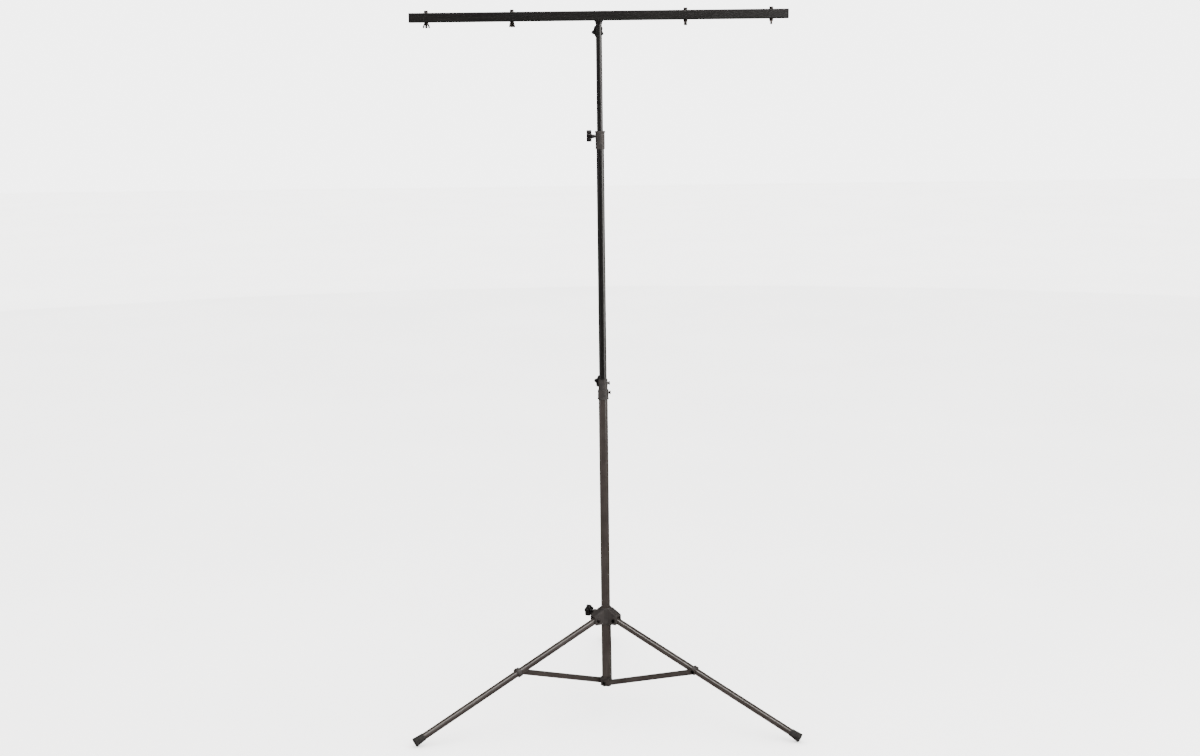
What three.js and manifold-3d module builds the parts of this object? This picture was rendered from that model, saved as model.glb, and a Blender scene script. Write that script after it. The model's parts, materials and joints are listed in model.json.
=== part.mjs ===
// Telescopic tripod stand with a cross bar on top for hanging lamps.
// Millimetres, +Z up. It is built around the post's axis with the floor at z = 0
// and is then moved so that the middle of its footprint is the origin.
// The photograph is taken from the -Y side.
import * as THREE from 'three';
import { mergeVertices } from 'three/addons/utils/BufferGeometryUtils.js';
import Module from 'manifold-3d';

const wasm = await Module();
wasm.setup();

// Fits and facets
const clearance = 0.3;
const overrun = 2;
const weldTolerance = 0.0001;
const roundSides = 32;
const smallSides = 20;
const hexSides = 6;

// Post tubes. An overlap is how far a tube's foot reaches down inside the tube below.
const lowerTubeRadius = 15;
const lowerTubeWall = 1.5;
const lowerTubeLength = 979.7;
const middleTubeRadius = 12.5;
const middleTubeWall = 1.5;
const middleTubeLength = 940;
const middleTubeOverlap = 125;
const upperTubeRadius = 10;
const upperTubeWall = 1.2;
const upperTubeLength = 900;
const upperTubeOverlap = 540.3;
const bushFlangeHeight = 8;
const bushPlugHeight = 20;
const bushBoreRadius = 5;

// Cross bar
const barLength = 1200;
const barSide = 30;
const barWall = 2;
const capFlange = 6;
const capPlugDepth = 14;
const capChamfer = 1.5;
const lampBoltEndInset = 55;
const lampBoltSpacing = 271;
const lampBoltRadius = 4;
const lampBoltHeadRadius = 7;
const lampBoltHeadHeight = 7;

// Wing nuts
const wingNutHeight = 17.5;
const wingNutHubRadius = 7;
const wingNutHubEndRadius = 5.6;
const wingNutHubHeight = 8;
const wingSpread = 23;
const wingThickness = 4.4;
const wingOutlineShares = [
  [0.44, 0.12], [0.62, 0.10], [0.92, 0.58], [1.00, 0.80], [0.98, 0.94], [0.86, 1.00],
  [0.68, 0.98], [0.54, 0.82], [0.44, 0.50],
];

// Socket that joins the bar to the upper tube
const socketConeRadius = 14;
const socketConeHeight = 13;
const socketSpigotLength = 65;

// Star knobs
const knobRadius = 20;
const knobValleyRadius = 14.5;
const knobThickness = 16.5;
const knobBevel = 1.5;
const knobLobes = 5;
const knobOutlinePoints = 40;
const knobNeckRadius = 6;
const knobNeckLength = 10.9;
const knobScrewRadius = 3;
const knobScrewDepth = 20;
const knobBossRadius = 8;
const barKnobBelowTubeTop = 19.7;
const barKnobBossReach = 14;

// Clamp collars on the post
const upperCollarGrip = 30;
const upperCollarRise = 28;
const upperCollarRadius = 15;
const upperCollarFlangeRadius = 16.5;
const upperCollarFlangeHeight = 6;
const middleCollarGrip = 28;
const middleCollarShoulderRise = 4;
const middleCollarSleeve = 35;
const middleCollarLowerRadius = 17.5;
const middleCollarUpperRadius = 15;
const middleCollarFlangeRadius = 18.5;
const middleCollarFlangeHeight = 4;
const middleKnobBelowTop = 13.5;
const collarLowerScrewInset = 6;
const collarScrewRadius = 2.5;
const collarScrewShoulderRadius = 4;
const collarScrewShoulderHeight = 2;
const collarScrewHeadRadius = 6.2;
const collarScrewHeadHeight = 4.5;
const collarPadRadius = 7;
const collarPadRise = 0.8;

// Sliding leg collar
const legCollarHeight = 55;
const legCollarBelowPivot = 14.8;
const legCollarNeckRadius = 19;
const legCollarNeckRise = 4;
const legCollarCoreRadius = 23.5;
const knuckleReach = 50;
const knuckleRoofEdgeRadius = 48;
const knuckleRoofDrop = 18;
const knuckleRoofThickness = 5;
const knuckleChamfer = 4;
const knuckleHalfWidth = 16.5;
const channelHalfWidth = 11.4;
const channelInnerRadius = 24.2;
const legPivotRadius = 38;
const legKnobAbovePivot = 18;
const legKnobBossReach = 45.8;

// Legs and feet, measured along the leg from its pivot
const legAngle = 23.5;
const legReach = 730;
const legTubeRadius = 11;
const legTubeWall = 1.2;
const legPastPivot = 7;
const footLength = 35;
const footTopRadius = 12.5;
const footSoleRadius = 15;
const footSoleThickness = 5;
const footRibCount = 3;
const footRibPitch = 4;
const footRibRise = 0.6;
const pivotBoltRadius = 3;
const pivotBoltHeadRadius = 6;
const pivotBoltHeadHeight = 4;

// Flat flanks that the braces lie against, on the hub and on the clamps
const flankReach = 15;

// Brace clamps on the legs
const clampPlace = 321;
const clampLength = 14;
const clampRadius = 15.5;

// Braces and the hub that holds their inner ends
const braceHalfWidth = 9.25;
const braceEyeRadius = 11.5;
const braceWeb = 1.5;
const braceDepth = 3.5;
const braceRim = 1.5;
const bracePinRadius = 3;
const bracePinHeadRadius = 6;
const bracePinHeadHeight = 3.6;
const hubAboveFloor = 71;
const hubHeight = 29;
const hubPlugHeight = 25;
const hubCornerReach = 20;
const hubPivotRise = 11;
const hubBoltDepth = 9;

// Azimuths round the post and turns of the loose pieces about their own screws, in degrees
const rightLegAzimuth = 330;
const leftLegAzimuth = 210;
const rearLegAzimuth = 90;
const barKnobAzimuth = 96;
const upperKnobAzimuth = 180;
const middleKnobAzimuth = 105;
const legKnobAzimuth = 150;
const barKnobAngle = -8;
const upperKnobAngle = 18;
const middleKnobAngle = 11;
const legKnobAngle = 20;
const wingNutAngles = [0, 45, 70, 82];

const legAzimuths = { right: rightLegAzimuth, left: leftLegAzimuth, rear: rearLegAzimuth };

const colours = {
  powderCoat: 0x1c1a19,
  moulding: 0x34302e,
  knob: 0x262523,
  rubber: 0x1b1a1a,
  zinc: 0x8a8a88,
  blackSteel: 0x2a2827,
};

const radians = THREE.MathUtils.degToRad;
const sinLeg = Math.sin(radians(legAngle));
const cosLeg = Math.cos(radians(legAngle));
const legPivotHeight = legReach * sinLeg + footSoleRadius * cosLeg;
const legCollarBottom = legPivotHeight - legCollarBelowPivot;
const legCollarTop = legCollarBottom + legCollarHeight;
const lowerBore = lowerTubeRadius + clearance;
const middleBore = middleTubeRadius + clearance;
const upperBore = upperTubeRadius + clearance;
const hubTop = hubAboveFloor + hubHeight;
const hubPivotHeight = hubAboveFloor + hubPivotRise;
const lowerTubeBottom = hubTop + clearance;
const lowerTubeTop = lowerTubeBottom + lowerTubeLength;
const middleTubeBottom = lowerTubeTop - middleTubeOverlap;
const middleTubeTop = middleTubeBottom + middleTubeLength;
const upperTubeBottom = middleTubeTop - upperTubeOverlap;
const upperTubeTop = upperTubeBottom + upperTubeLength;
const barBottom = upperTubeTop + clearance + socketConeHeight;
const lampBoltOuterPlace = barLength / 2 - lampBoltEndInset;
const lampBoltInnerPlace = lampBoltOuterPlace - lampBoltSpacing;
const lampBoltPlaces = [
  -lampBoltOuterPlace,
  -lampBoltInnerPlace,
  lampBoltInnerPlace,
  lampBoltOuterPlace,
];

// Solids

function toSolid(geometry) {
  const bare = geometry.clone();
  bare.deleteAttribute('normal');
  bare.deleteAttribute('uv');
  const welded = mergeVertices(bare, weldTolerance);
  return new wasm.Manifold(new wasm.Mesh({
    numProp: 3,
    vertProperties: new Float32Array(welded.attributes.position.array),
    triVerts: new Uint32Array(welded.index.array),
  }));
}

function toGeometry(solid) {
  const mesh = solid.getMesh();
  const geometry = new THREE.BufferGeometry();
  geometry.setAttribute('position', new THREE.BufferAttribute(mesh.vertProperties, mesh.numProp));
  geometry.setIndex(new THREE.BufferAttribute(mesh.triVerts, 1));
  return geometry;
}

// A bar of round section along Z from low to high.
function rod(radius, low, high, sides = roundSides) {
  const length = high - low;
  const geometry = new THREE.CylinderGeometry(radius, radius, length, sides);
  geometry.rotateX(Math.PI / 2);
  geometry.translate(0, 0, low + length / 2);
  return geometry;
}

function rodAlongX(radius, low, high, sides = smallSides) {
  return rod(radius, low, high, sides).rotateY(Math.PI / 2);
}

// A bar of round section along Y from low to high.
function rodAlongY(radius, low, high, sides = smallSides) {
  return rod(radius, low, high, sides).rotateX(-Math.PI / 2);
}

// A solid of revolution about Z. The profile lists radius and height, anticlockwise.
function turned(profile, sides = roundSides) {
  const points = profile.map(([radius, height]) => new THREE.Vector2(radius, height));
  return new THREE.LatheGeometry(points, sides).rotateX(Math.PI / 2);
}

function ring(innerRadius, outerRadius, low, high, sides = roundSides) {
  return turned([
    [innerRadius, low],
    [outerRadius, low],
    [outerRadius, high],
    [innerRadius, high],
    [innerRadius, low],
  ], sides);
}

function outlineShape(outline) {
  return new THREE.Shape(outline.map(([x, y]) => new THREE.Vector2(x, y)));
}

// A plate whose outline lies in X and Z and whose thickness runs from y = low to high.
function plateAcrossY(outline, low, high) {
  const thickness = high - low;
  const geometry = new THREE.ExtrudeGeometry(outlineShape(outline), {
    depth: thickness,
    bevelEnabled: false,
  });
  return geometry.rotateX(Math.PI / 2).translate(0, high, 0);
}

function squareOutline(side) {
  const half = side / 2;
  return [[-half, -half], [half, -half], [half, half], [-half, half]];
}

// A square bar along X from low to high, centred on the X axis.
function squareAlongX(side, low, high) {
  const length = high - low;
  const geometry = new THREE.ExtrudeGeometry(outlineShape(squareOutline(side)), {
    depth: length,
    bevelEnabled: false,
  });
  return geometry.rotateY(Math.PI / 2).translate(low, 0, 0);
}

function joined(...geometries) {
  return geometries.map(toSolid).reduce((sum, solid) => sum.add(solid));
}

function cut(solid, ...geometries) {
  return geometries.map(toSolid).reduce((rest, tool) => rest.subtract(tool), solid);
}

// Parts

const group = new THREE.Group();
group.name = 'lighting_t_bar_stand';

function addPart(name, shape, colour) {
  const geometry = shape.isBufferGeometry ? toGeometry(toSolid(shape)) : toGeometry(shape);
  const material = new THREE.MeshStandardMaterial({ color: colour, roughness: 0.5 });
  const mesh = new THREE.Mesh(geometry, material);
  mesh.name = name;
  group.add(mesh);
  return mesh;
}

// Adds a part that was built for azimuth 0, turned about the post to its own azimuth.
function addTurned(name, shape, colour, azimuth) {
  const mesh = addPart(name, shape, colour);
  mesh.geometry.rotateZ(radians(azimuth));
  return mesh;
}

// A drill along the radius at an azimuth, from an inner to an outer radius.
function radialRod(radius, from, to, height, azimuth, sides = smallSides) {
  return rodAlongX(radius, from, to, sides).rotateZ(radians(azimuth)).translate(0, 0, height);
}

const screwHole = knobScrewRadius + clearance;

function starOutline() {
  const mean = (knobRadius + knobValleyRadius) / 2;
  const swing = (knobRadius - knobValleyRadius) / 2;
  return Array.from({ length: knobOutlinePoints }, (_, index) => {
    const angle = (2 * Math.PI * index) / knobOutlinePoints;
    const radius = mean + swing * Math.cos(knobLobes * angle);
    return [radius * Math.cos(angle), radius * Math.sin(angle)];
  });
}

// A star knob whose axis is X, with its neck's end at x = 0.
function starKnob() {
  const headDepth = knobThickness - 2 * knobBevel;
  const head = new THREE.ExtrudeGeometry(outlineShape(starOutline()), {
    depth: headDepth,
    bevelThickness: knobBevel,
    bevelSize: knobBevel,
    bevelOffset: -knobBevel,
    bevelSegments: 1,
  });
  head.translate(0, 0, knobNeckLength + knobBevel);
  head.rotateY(Math.PI / 2);
  const neck = rodAlongX(knobNeckRadius, 0, knobNeckLength + knobThickness / 2);
  const bore = rodAlongX(screwHole, -overrun, knobScrewDepth + clearance);
  return cut(joined(head, neck), bore);
}

// Adds a knob and its screw. The screw's tip stops just short of the piece it clamps.
function addKnob(name, height, azimuth, clampedRadius, bossReach, angle) {
  const seat = bossReach + clearance;
  const knob = addPart(name, starKnob(), colours.knob);
  knob.geometry.rotateX(radians(angle));
  knob.geometry.translate(seat, 0, 0);
  knob.geometry.rotateZ(radians(azimuth));
  knob.geometry.translate(0, 0, height);
  const tip = clampedRadius + clearance;
  addPart(`${name}_screw`, radialRod(knobScrewRadius, tip, seat + knobScrewDepth, height, azimuth),
    colours.zinc);
}

// Post

const collarLowerScrewHeight = lowerTubeTop - collarLowerScrewInset;
const lowerTube = cut(
  toSolid(ring(lowerTubeRadius - lowerTubeWall, lowerTubeRadius, lowerTubeBottom, lowerTubeTop)),
  radialRod(collarScrewRadius + clearance, lowerTubeRadius - lowerTubeWall - overrun,
    lowerTubeRadius + overrun, collarLowerScrewHeight, 0),
);
addPart('lower_tube', lowerTube, colours.powderCoat);

addPart('middle_tube',
  ring(middleTubeRadius - middleTubeWall, middleTubeRadius, middleTubeBottom, middleTubeTop),
  colours.powderCoat);

// A guide at the foot of a sliding tube: a flange that fits the outer tube and a plug.
function guideBush(outerTubeBore, innerTubeBore, tubeBottom) {
  const flangeTop = tubeBottom - clearance;
  const flangeBottom = flangeTop - bushFlangeHeight;
  const plugTop = tubeBottom + bushPlugHeight;
  const plugRadius = innerTubeBore - clearance;
  return turned([
    [bushBoreRadius, flangeBottom],
    [outerTubeBore - clearance, flangeBottom],
    [outerTubeBore - clearance, flangeTop],
    [plugRadius, flangeTop],
    [plugRadius, plugTop],
    [bushBoreRadius, plugTop],
    [bushBoreRadius, flangeBottom],
  ]);
}

addPart('middle_tube_bush',
  guideBush(lowerTubeRadius - lowerTubeWall, middleTubeRadius - middleTubeWall, middleTubeBottom),
  colours.moulding);

const barKnobHeight = upperTubeTop - barKnobBelowTubeTop;
const upperTubeBore = upperTubeRadius - upperTubeWall;
const upperTube = cut(
  joined(
    rod(upperTubeRadius, upperTubeBottom, upperTubeTop),
    radialRod(knobBossRadius, upperTubeBore, barKnobBossReach, barKnobHeight, barKnobAzimuth),
  ),
  rod(upperTubeBore, upperTubeBottom - overrun, upperTubeTop + overrun),
  radialRod(screwHole, upperTubeBore - overrun, barKnobBossReach + overrun, barKnobHeight,
    barKnobAzimuth),
);
addPart('upper_tube', upperTube, colours.powderCoat);
addPart('upper_tube_bush',
  guideBush(middleTubeRadius - middleTubeWall, upperTubeBore, upperTubeBottom),
  colours.moulding);

// Clamp collars: the lower bore takes the outer tube and the upper bore the inner one.

const upperCollarBottom = middleTubeTop - upperCollarGrip;
const upperCollarStep = middleTubeTop + clearance;
const upperCollarTop = middleTubeTop + upperCollarRise;
const upperFlangeBottom = upperCollarTop - upperCollarFlangeHeight;
const upperKnobHeight = (upperCollarStep + upperFlangeBottom) / 2;
const upperKnobPad = upperCollarRadius + collarPadRise;
const upperCollar = cut(
  joined(
    turned([
      [middleBore, upperCollarBottom],
      [upperCollarRadius, upperCollarBottom],
      [upperCollarRadius, upperFlangeBottom],
      [upperCollarFlangeRadius, upperFlangeBottom],
      [upperCollarFlangeRadius, upperCollarTop],
      [upperBore, upperCollarTop],
      [upperBore, upperCollarStep],
      [middleBore, upperCollarStep],
      [middleBore, upperCollarBottom],
    ]),
    radialRod(knobBossRadius, middleBore, upperKnobPad, upperKnobHeight, upperKnobAzimuth),
  ),
  radialRod(screwHole, upperTubeRadius - overrun, upperKnobPad + overrun, upperKnobHeight,
    upperKnobAzimuth),
);
addPart('upper_collar', upperCollar, colours.moulding);

const middleCollarBottom = lowerTubeTop - middleCollarGrip;
const middleCollarStep = lowerTubeTop + clearance;
const middleCollarShoulder = lowerTubeTop + middleCollarShoulderRise;
const middleCollarTop = middleCollarShoulder + middleCollarSleeve;
const middleKnobHeight = middleCollarTop - middleKnobBelowTop;
const middleKnobPad = middleCollarUpperRadius + collarPadRise;
const middleFlangeTop = middleCollarBottom + middleCollarFlangeHeight;
const collarScrews = {
  lower: {
    height: collarLowerScrewHeight,
    pad: middleCollarLowerRadius + collarPadRise,
    tip: lowerTubeRadius - lowerTubeWall / 2,
  },
  upper: {
    height: middleKnobHeight,
    pad: middleKnobPad,
    tip: middleBore + clearance,
  },
};
const middleCollarBody = joined(
  turned([
    [lowerBore, middleCollarBottom],
    [middleCollarFlangeRadius, middleCollarBottom],
    [middleCollarFlangeRadius, middleFlangeTop],
    [middleCollarLowerRadius, middleFlangeTop],
    [middleCollarLowerRadius, middleCollarShoulder],
    [middleCollarUpperRadius, middleCollarShoulder],
    [middleCollarUpperRadius, middleCollarTop],
    [middleBore, middleCollarTop],
    [middleBore, middleCollarStep],
    [lowerBore, middleCollarStep],
    [lowerBore, middleCollarBottom],
  ]),
  radialRod(knobBossRadius, middleBore, middleKnobPad, middleKnobHeight, middleKnobAzimuth),
  ...Object.values(collarScrews).map(({ height, pad }) => radialRod(collarPadRadius,
    middleBore, pad, height, 0)),
);
const middleCollar = cut(middleCollarBody,
  rod(lowerBore, middleCollarBottom - overrun, middleCollarStep),
  rod(middleBore, middleCollarStep - overrun, middleCollarTop + overrun),
  radialRod(screwHole, middleTubeRadius - overrun, middleKnobPad + overrun, middleKnobHeight,
    middleKnobAzimuth),
  ...Object.values(collarScrews).map(({ height, pad }) => radialRod(
    collarScrewRadius + clearance, middleTubeRadius - overrun, pad + overrun, height, 0)),
);
addPart('middle_collar', middleCollar, colours.moulding);

for (const [place, { height, pad, tip }] of Object.entries(collarScrews)) {
  const seat = pad + clearance;
  const headStart = seat + collarScrewShoulderHeight;
  const headMiddle = headStart + collarScrewHeadHeight / 2;
  const screw = joined(
    radialRod(collarScrewRadius, tip, headMiddle, height, 0),
    radialRod(collarScrewShoulderRadius, seat, headMiddle, height, 0),
    radialRod(collarScrewHeadRadius, headStart, headStart + collarScrewHeadHeight, height, 0),
  );
  addPart(`middle_collar_screw_${place}`, screw, colours.blackSteel);
}

// Base hub: a three-sided block with cut corners under the post and a plug up inside it.

function hubOutline() {
  const corners = [];
  const halfFlank = (hubCornerReach - flankReach / 2) / Math.sin(Math.PI / 3);
  for (const azimuth of [0, 120, 240]) {
    for (const side of [-1, 1]) {
      const flank = new THREE.Vector2(flankReach, side * halfFlank);
      flank.rotateAround(new THREE.Vector2(0, 0), radians(azimuth));
      corners.push([flank.x, flank.y]);
    }
  }
  return corners;
}

const hubBlock = new THREE.ExtrudeGeometry(outlineShape(hubOutline()), {
  depth: hubHeight,
  bevelEnabled: false,
});
hubBlock.translate(0, 0, hubAboveFloor);
const braceFlankAzimuths = Object.values(legAzimuths).map((azimuth) => azimuth - 90);
const hubHoleStart = flankReach - hubBoltDepth - clearance;
const baseHub = cut(
  joined(hubBlock, rod(lowerTubeRadius - lowerTubeWall - clearance, hubTop - overrun,
    hubTop + hubPlugHeight)),
  ...braceFlankAzimuths.map((azimuth) => radialRod(bracePinRadius + clearance, hubHoleStart,
    flankReach + overrun, hubPivotHeight, azimuth)),
);
addPart('base_hub', baseHub, colours.moulding);

// Leg collar: a ring on the post with three knuckles that hold the legs' ends.

const roofPlateau = legCollarTop - legCollarNeckRise;
const roofSlope = knuckleRoofDrop / (knuckleRoofEdgeRadius - legCollarNeckRadius);

function roofHeight(radius) {
  return roofPlateau - (radius - legCollarNeckRadius) * roofSlope;
}

function knuckle(azimuth) {
  const outline = [
    [0, legCollarBottom],
    [knuckleReach - knuckleChamfer, legCollarBottom],
    [knuckleReach, legCollarBottom + knuckleChamfer],
    [knuckleReach, roofHeight(knuckleRoofEdgeRadius) - knuckleChamfer],
    [knuckleRoofEdgeRadius, roofHeight(knuckleRoofEdgeRadius)],
    [legCollarNeckRadius, roofPlateau],
    [0, roofPlateau],
  ];
  return plateAcrossY(outline, -knuckleHalfWidth, knuckleHalfWidth).rotateZ(radians(azimuth));
}

function knuckleChannel(azimuth) {
  const outer = knuckleReach + overrun;
  const outline = [
    [channelInnerRadius, legCollarBottom - overrun],
    [outer, legCollarBottom - overrun],
    [outer, roofHeight(outer) - knuckleRoofThickness],
    [channelInnerRadius, roofHeight(channelInnerRadius) - knuckleRoofThickness],
  ];
  return plateAcrossY(outline, -channelHalfWidth, channelHalfWidth).rotateZ(radians(azimuth));
}

function pivotHole(azimuth) {
  const reach = knuckleHalfWidth + overrun;
  return rodAlongY(pivotBoltRadius + clearance, -reach, reach)
    .translate(legPivotRadius, 0, legPivotHeight).rotateZ(radians(azimuth));
}

const legKnobHeight = legPivotHeight + legKnobAbovePivot;
const knuckleAzimuths = Object.values(legAzimuths);
const legCollar = cut(
  joined(
    rod(legCollarNeckRadius, legCollarBottom, legCollarTop),
    rod(legCollarCoreRadius, legCollarBottom, roofPlateau),
    radialRod(knobBossRadius, lowerBore, legKnobBossReach, legKnobHeight, legKnobAzimuth),
    ...knuckleAzimuths.map(knuckle),
  ),
  ...knuckleAzimuths.map(knuckleChannel),
  ...knuckleAzimuths.map(pivotHole),
  rod(lowerBore, legCollarBottom - overrun, legCollarTop + overrun),
  radialRod(screwHole, lowerTubeRadius - overrun, legKnobBossReach + overrun, legKnobHeight,
    legKnobAzimuth),
);
addPart('leg_collar', legCollar, colours.moulding);

const pivotBoltSeat = knuckleHalfWidth + clearance;
const pivotBoltReach = pivotBoltSeat + pivotBoltHeadHeight;

// Legs, each with its pivot bolt, foot, clamp and brace. They are built for azimuth 0.

function alongLeg(geometry) {
  return geometry.rotateY(radians(legAngle)).translate(legPivotRadius, 0, legPivotHeight);
}

const footTop = legReach - footLength;
const legTubeEnd = legReach - footSoleThickness - clearance;
const legTube = cut(
  toSolid(ring(legTubeRadius - legTubeWall, legTubeRadius, -legPastPivot, legTubeEnd)
    .rotateY(Math.PI / 2)),
  rodAlongY(pivotBoltRadius + clearance, -legTubeRadius - overrun, legTubeRadius + overrun),
);

function footProfile() {
  const socket = legTubeRadius + clearance;
  const floor = legReach - footSoleThickness;
  const firstRib = legReach - footRibCount * footRibPitch;
  const flare = (footSoleRadius - footTopRadius) / footLength;
  const skin = (place) => footTopRadius + (place - footTop) * flare - footRibRise;
  const profile = [[0, floor], [socket, floor], [socket, footTop], [footTopRadius, footTop]];
  for (let rib = 0; rib < footRibCount; rib += 1) {
    const start = firstRib + rib * footRibPitch;
    const valley = start + footRibPitch / 2;
    profile.push([skin(start), start]);
    profile.push([skin(start) + footRibRise, start]);
    profile.push([skin(valley) + footRibRise, valley]);
    profile.push([skin(valley), valley]);
  }
  profile.push([footSoleRadius, legReach - footRibRise]);
  profile.push([footSoleRadius, legReach]);
  profile.push([0, legReach]);
  return profile;
}

const clampSolid = cut(
  toSolid(rodAlongX(clampRadius, clampPlace - clampLength / 2, clampPlace + clampLength / 2,
    roundSides)).intersect(
    toSolid(plateAcrossY([
      [clampPlace - clampLength, -clampRadius - overrun],
      [clampPlace + clampLength, -clampRadius - overrun],
      [clampPlace + clampLength, clampRadius + overrun],
      [clampPlace - clampLength, clampRadius + overrun],
    ], -flankReach, flankReach)),
  ),
  rodAlongX(legTubeRadius + clearance, clampPlace - clampLength, clampPlace + clampLength,
    roundSides),
);

const braceInner = flankReach + clearance;
const clampRadiusFromPost = legPivotRadius + clampPlace * cosLeg;
const clampHeight = legPivotHeight - clampPlace * sinLeg;
const braceRise = clampHeight - hubPivotHeight;
const braceLength = Math.hypot(clampRadiusFromPost, braceRise);
const braceAngle = Math.atan2(braceRise, clampRadiusFromPost);

// A strap with a round end at length and a larger round eye about its origin.
function strapOutline(eyeRadius, halfWidth, length) {
  const meeting = Math.asin(halfWidth / eyeRadius);
  const arc = (radius, centre, from, to) => Array.from({ length: smallSides + 1 }, (_, step) => {
    const angle = from + ((to - from) * step) / smallSides;
    return [centre + radius * Math.cos(angle), radius * Math.sin(angle)];
  });
  return [
    ...arc(eyeRadius, 0, meeting, 2 * Math.PI - meeting),
    ...arc(halfWidth, length, -Math.PI / 2, Math.PI / 2),
  ];
}

function placeBrace(geometry) {
  return geometry.rotateY(-braceAngle).translate(0, 0, hubPivotHeight);
}

const braceHole = bracePinRadius + clearance;
const braceSolid = cut(
  toSolid(plateAcrossY(strapOutline(braceEyeRadius, braceHalfWidth, braceLength),
    -braceInner - braceDepth, -braceInner)),
  plateAcrossY(strapOutline(braceEyeRadius - braceRim, braceHalfWidth - braceRim, braceLength),
    -braceInner - braceDepth - overrun, -braceInner - braceWeb),
  rodAlongY(braceHole, -braceInner - braceDepth, -braceInner + overrun),
  rodAlongY(braceHole, -braceInner - braceDepth, -braceInner + overrun).translate(braceLength, 0, 0),
);
const pinHeadInner = braceInner + braceWeb + clearance;

function headedPin(innerEnd) {
  const headEnd = pinHeadInner + bracePinHeadHeight;
  return joined(
    rodAlongY(bracePinRadius, -pinHeadInner - overrun, -innerEnd),
    rodAlongY(bracePinHeadRadius, -headEnd, -pinHeadInner),
  );
}

for (const [place, azimuth] of Object.entries(legAzimuths)) {
  const bolt = joined(
    rodAlongY(pivotBoltRadius, -pivotBoltReach, pivotBoltReach),
    rodAlongY(pivotBoltHeadRadius, -pivotBoltReach, -pivotBoltSeat, hexSides),
    rodAlongY(pivotBoltHeadRadius, pivotBoltSeat, pivotBoltReach, hexSides),
  );
  const boltPart = addPart(`leg_pivot_bolt_${place}`, bolt, colours.blackSteel);
  boltPart.geometry.translate(legPivotRadius, 0, legPivotHeight).rotateZ(radians(azimuth));

  const tube = addPart(`leg_tube_${place}`, legTube, colours.powderCoat);
  const foot = addPart(`leg_foot_${place}`, turned(footProfile()), colours.rubber);
  foot.geometry.rotateY(Math.PI / 2);
  const clamp = addPart(`brace_clamp_${place}`, clampSolid, colours.moulding);
  for (const part of [tube, foot, clamp]) {
    alongLeg(part.geometry).rotateZ(radians(azimuth));
  }

  const brace = addPart(`brace_${place}`, braceSolid, colours.powderCoat);
  placeBrace(brace.geometry).rotateZ(radians(azimuth));
  const pin = addPart(`brace_pin_${place}`, headedPin(braceInner), colours.blackSteel);
  placeBrace(pin.geometry.translate(braceLength, 0, 0)).rotateZ(radians(azimuth));
  const hubBolt = addTurned(`brace_bolt_${place}`, headedPin(flankReach - hubBoltDepth),
    colours.blackSteel, 0);
  hubBolt.geometry.translate(0, 0, hubPivotHeight).rotateZ(radians(azimuth));
}

// Cross bar

const barMiddle = barBottom + barSide / 2;
const barTop = barBottom + barSide;
const tubeEnd = barLength / 2 - capFlange - clearance;
const lampBoltHole = lampBoltRadius + clearance;
const barSolid = cut(
  toSolid(squareAlongX(barSide, -tubeEnd, tubeEnd)),
  squareAlongX(barSide - 2 * barWall, -tubeEnd - overrun, tubeEnd + overrun),
  ...lampBoltPlaces.map((place) => rod(lampBoltHole, -barSide, barSide, smallSides)
    .translate(place, 0, 0)),
);
addPart('t_bar', barSolid, colours.powderCoat).geometry.translate(0, 0, barMiddle);

function endCap() {
  const outer = barLength / 2;
  const inner = outer - capFlange;
  const flange = new THREE.ExtrudeGeometry(outlineShape(squareOutline(barSide)), {
    depth: capFlange - capChamfer,
    bevelThickness: capChamfer,
    bevelSize: capChamfer,
    bevelOffset: -capChamfer,
    bevelSegments: 1,
  });
  flange.rotateY(Math.PI / 2).translate(inner, 0, 0);
  const face = toSolid(flange).intersect(toSolid(squareAlongX(barSide, inner, outer)));
  const plugSide = barSide - 2 * barWall - 2 * clearance;
  const plug = toSolid(squareAlongX(plugSide, inner - capPlugDepth, inner + overrun / 2));
  return face.add(plug);
}

for (const [side, angle] of [['right', 0], ['left', 180]]) {
  const cap = addTurned(`t_bar_end_cap_${side}`, endCap(), colours.knob, angle);
  cap.geometry.translate(0, 0, barMiddle);
}

const socketTop = barBottom - clearance;
const socketConeBottom = barBottom - socketConeHeight;
const spigotRadius = upperTubeBore - clearance;
addPart('t_bar_socket', turned([
  [0, socketConeBottom - socketSpigotLength],
  [spigotRadius, socketConeBottom - socketSpigotLength],
  [spigotRadius, socketConeBottom],
  [upperTubeRadius, socketConeBottom],
  [socketConeRadius, socketTop],
  [0, socketTop],
]), colours.powderCoat);

// Lamp bolts through the bar with wing nuts below

const nutSeat = barBottom - clearance;
const boltTip = nutSeat - wingNutHeight;
const headSeat = barTop + clearance;

function wingNut() {
  const hub = turned([
    [lampBoltHole, -wingNutHubHeight],
    [wingNutHubEndRadius, -wingNutHubHeight],
    [wingNutHubRadius, 0],
    [lampBoltHole, 0],
    [lampBoltHole, -wingNutHubHeight],
  ], smallSides);
  const wings = [1, -1].map((side) => {
    const outline = wingOutlineShares.map(([spreadShare, heightShare]) => [
      spreadShare * wingSpread / 2, -heightShare * wingNutHeight]);
    const wing = plateAcrossY(outline.reverse(), -wingThickness / 2, wingThickness / 2);
    return side > 0 ? wing : wing.rotateZ(Math.PI);
  });
  return cut(joined(hub, ...wings), rod(lampBoltHole, -wingNutHeight - overrun, overrun,
    smallSides));
}

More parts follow.
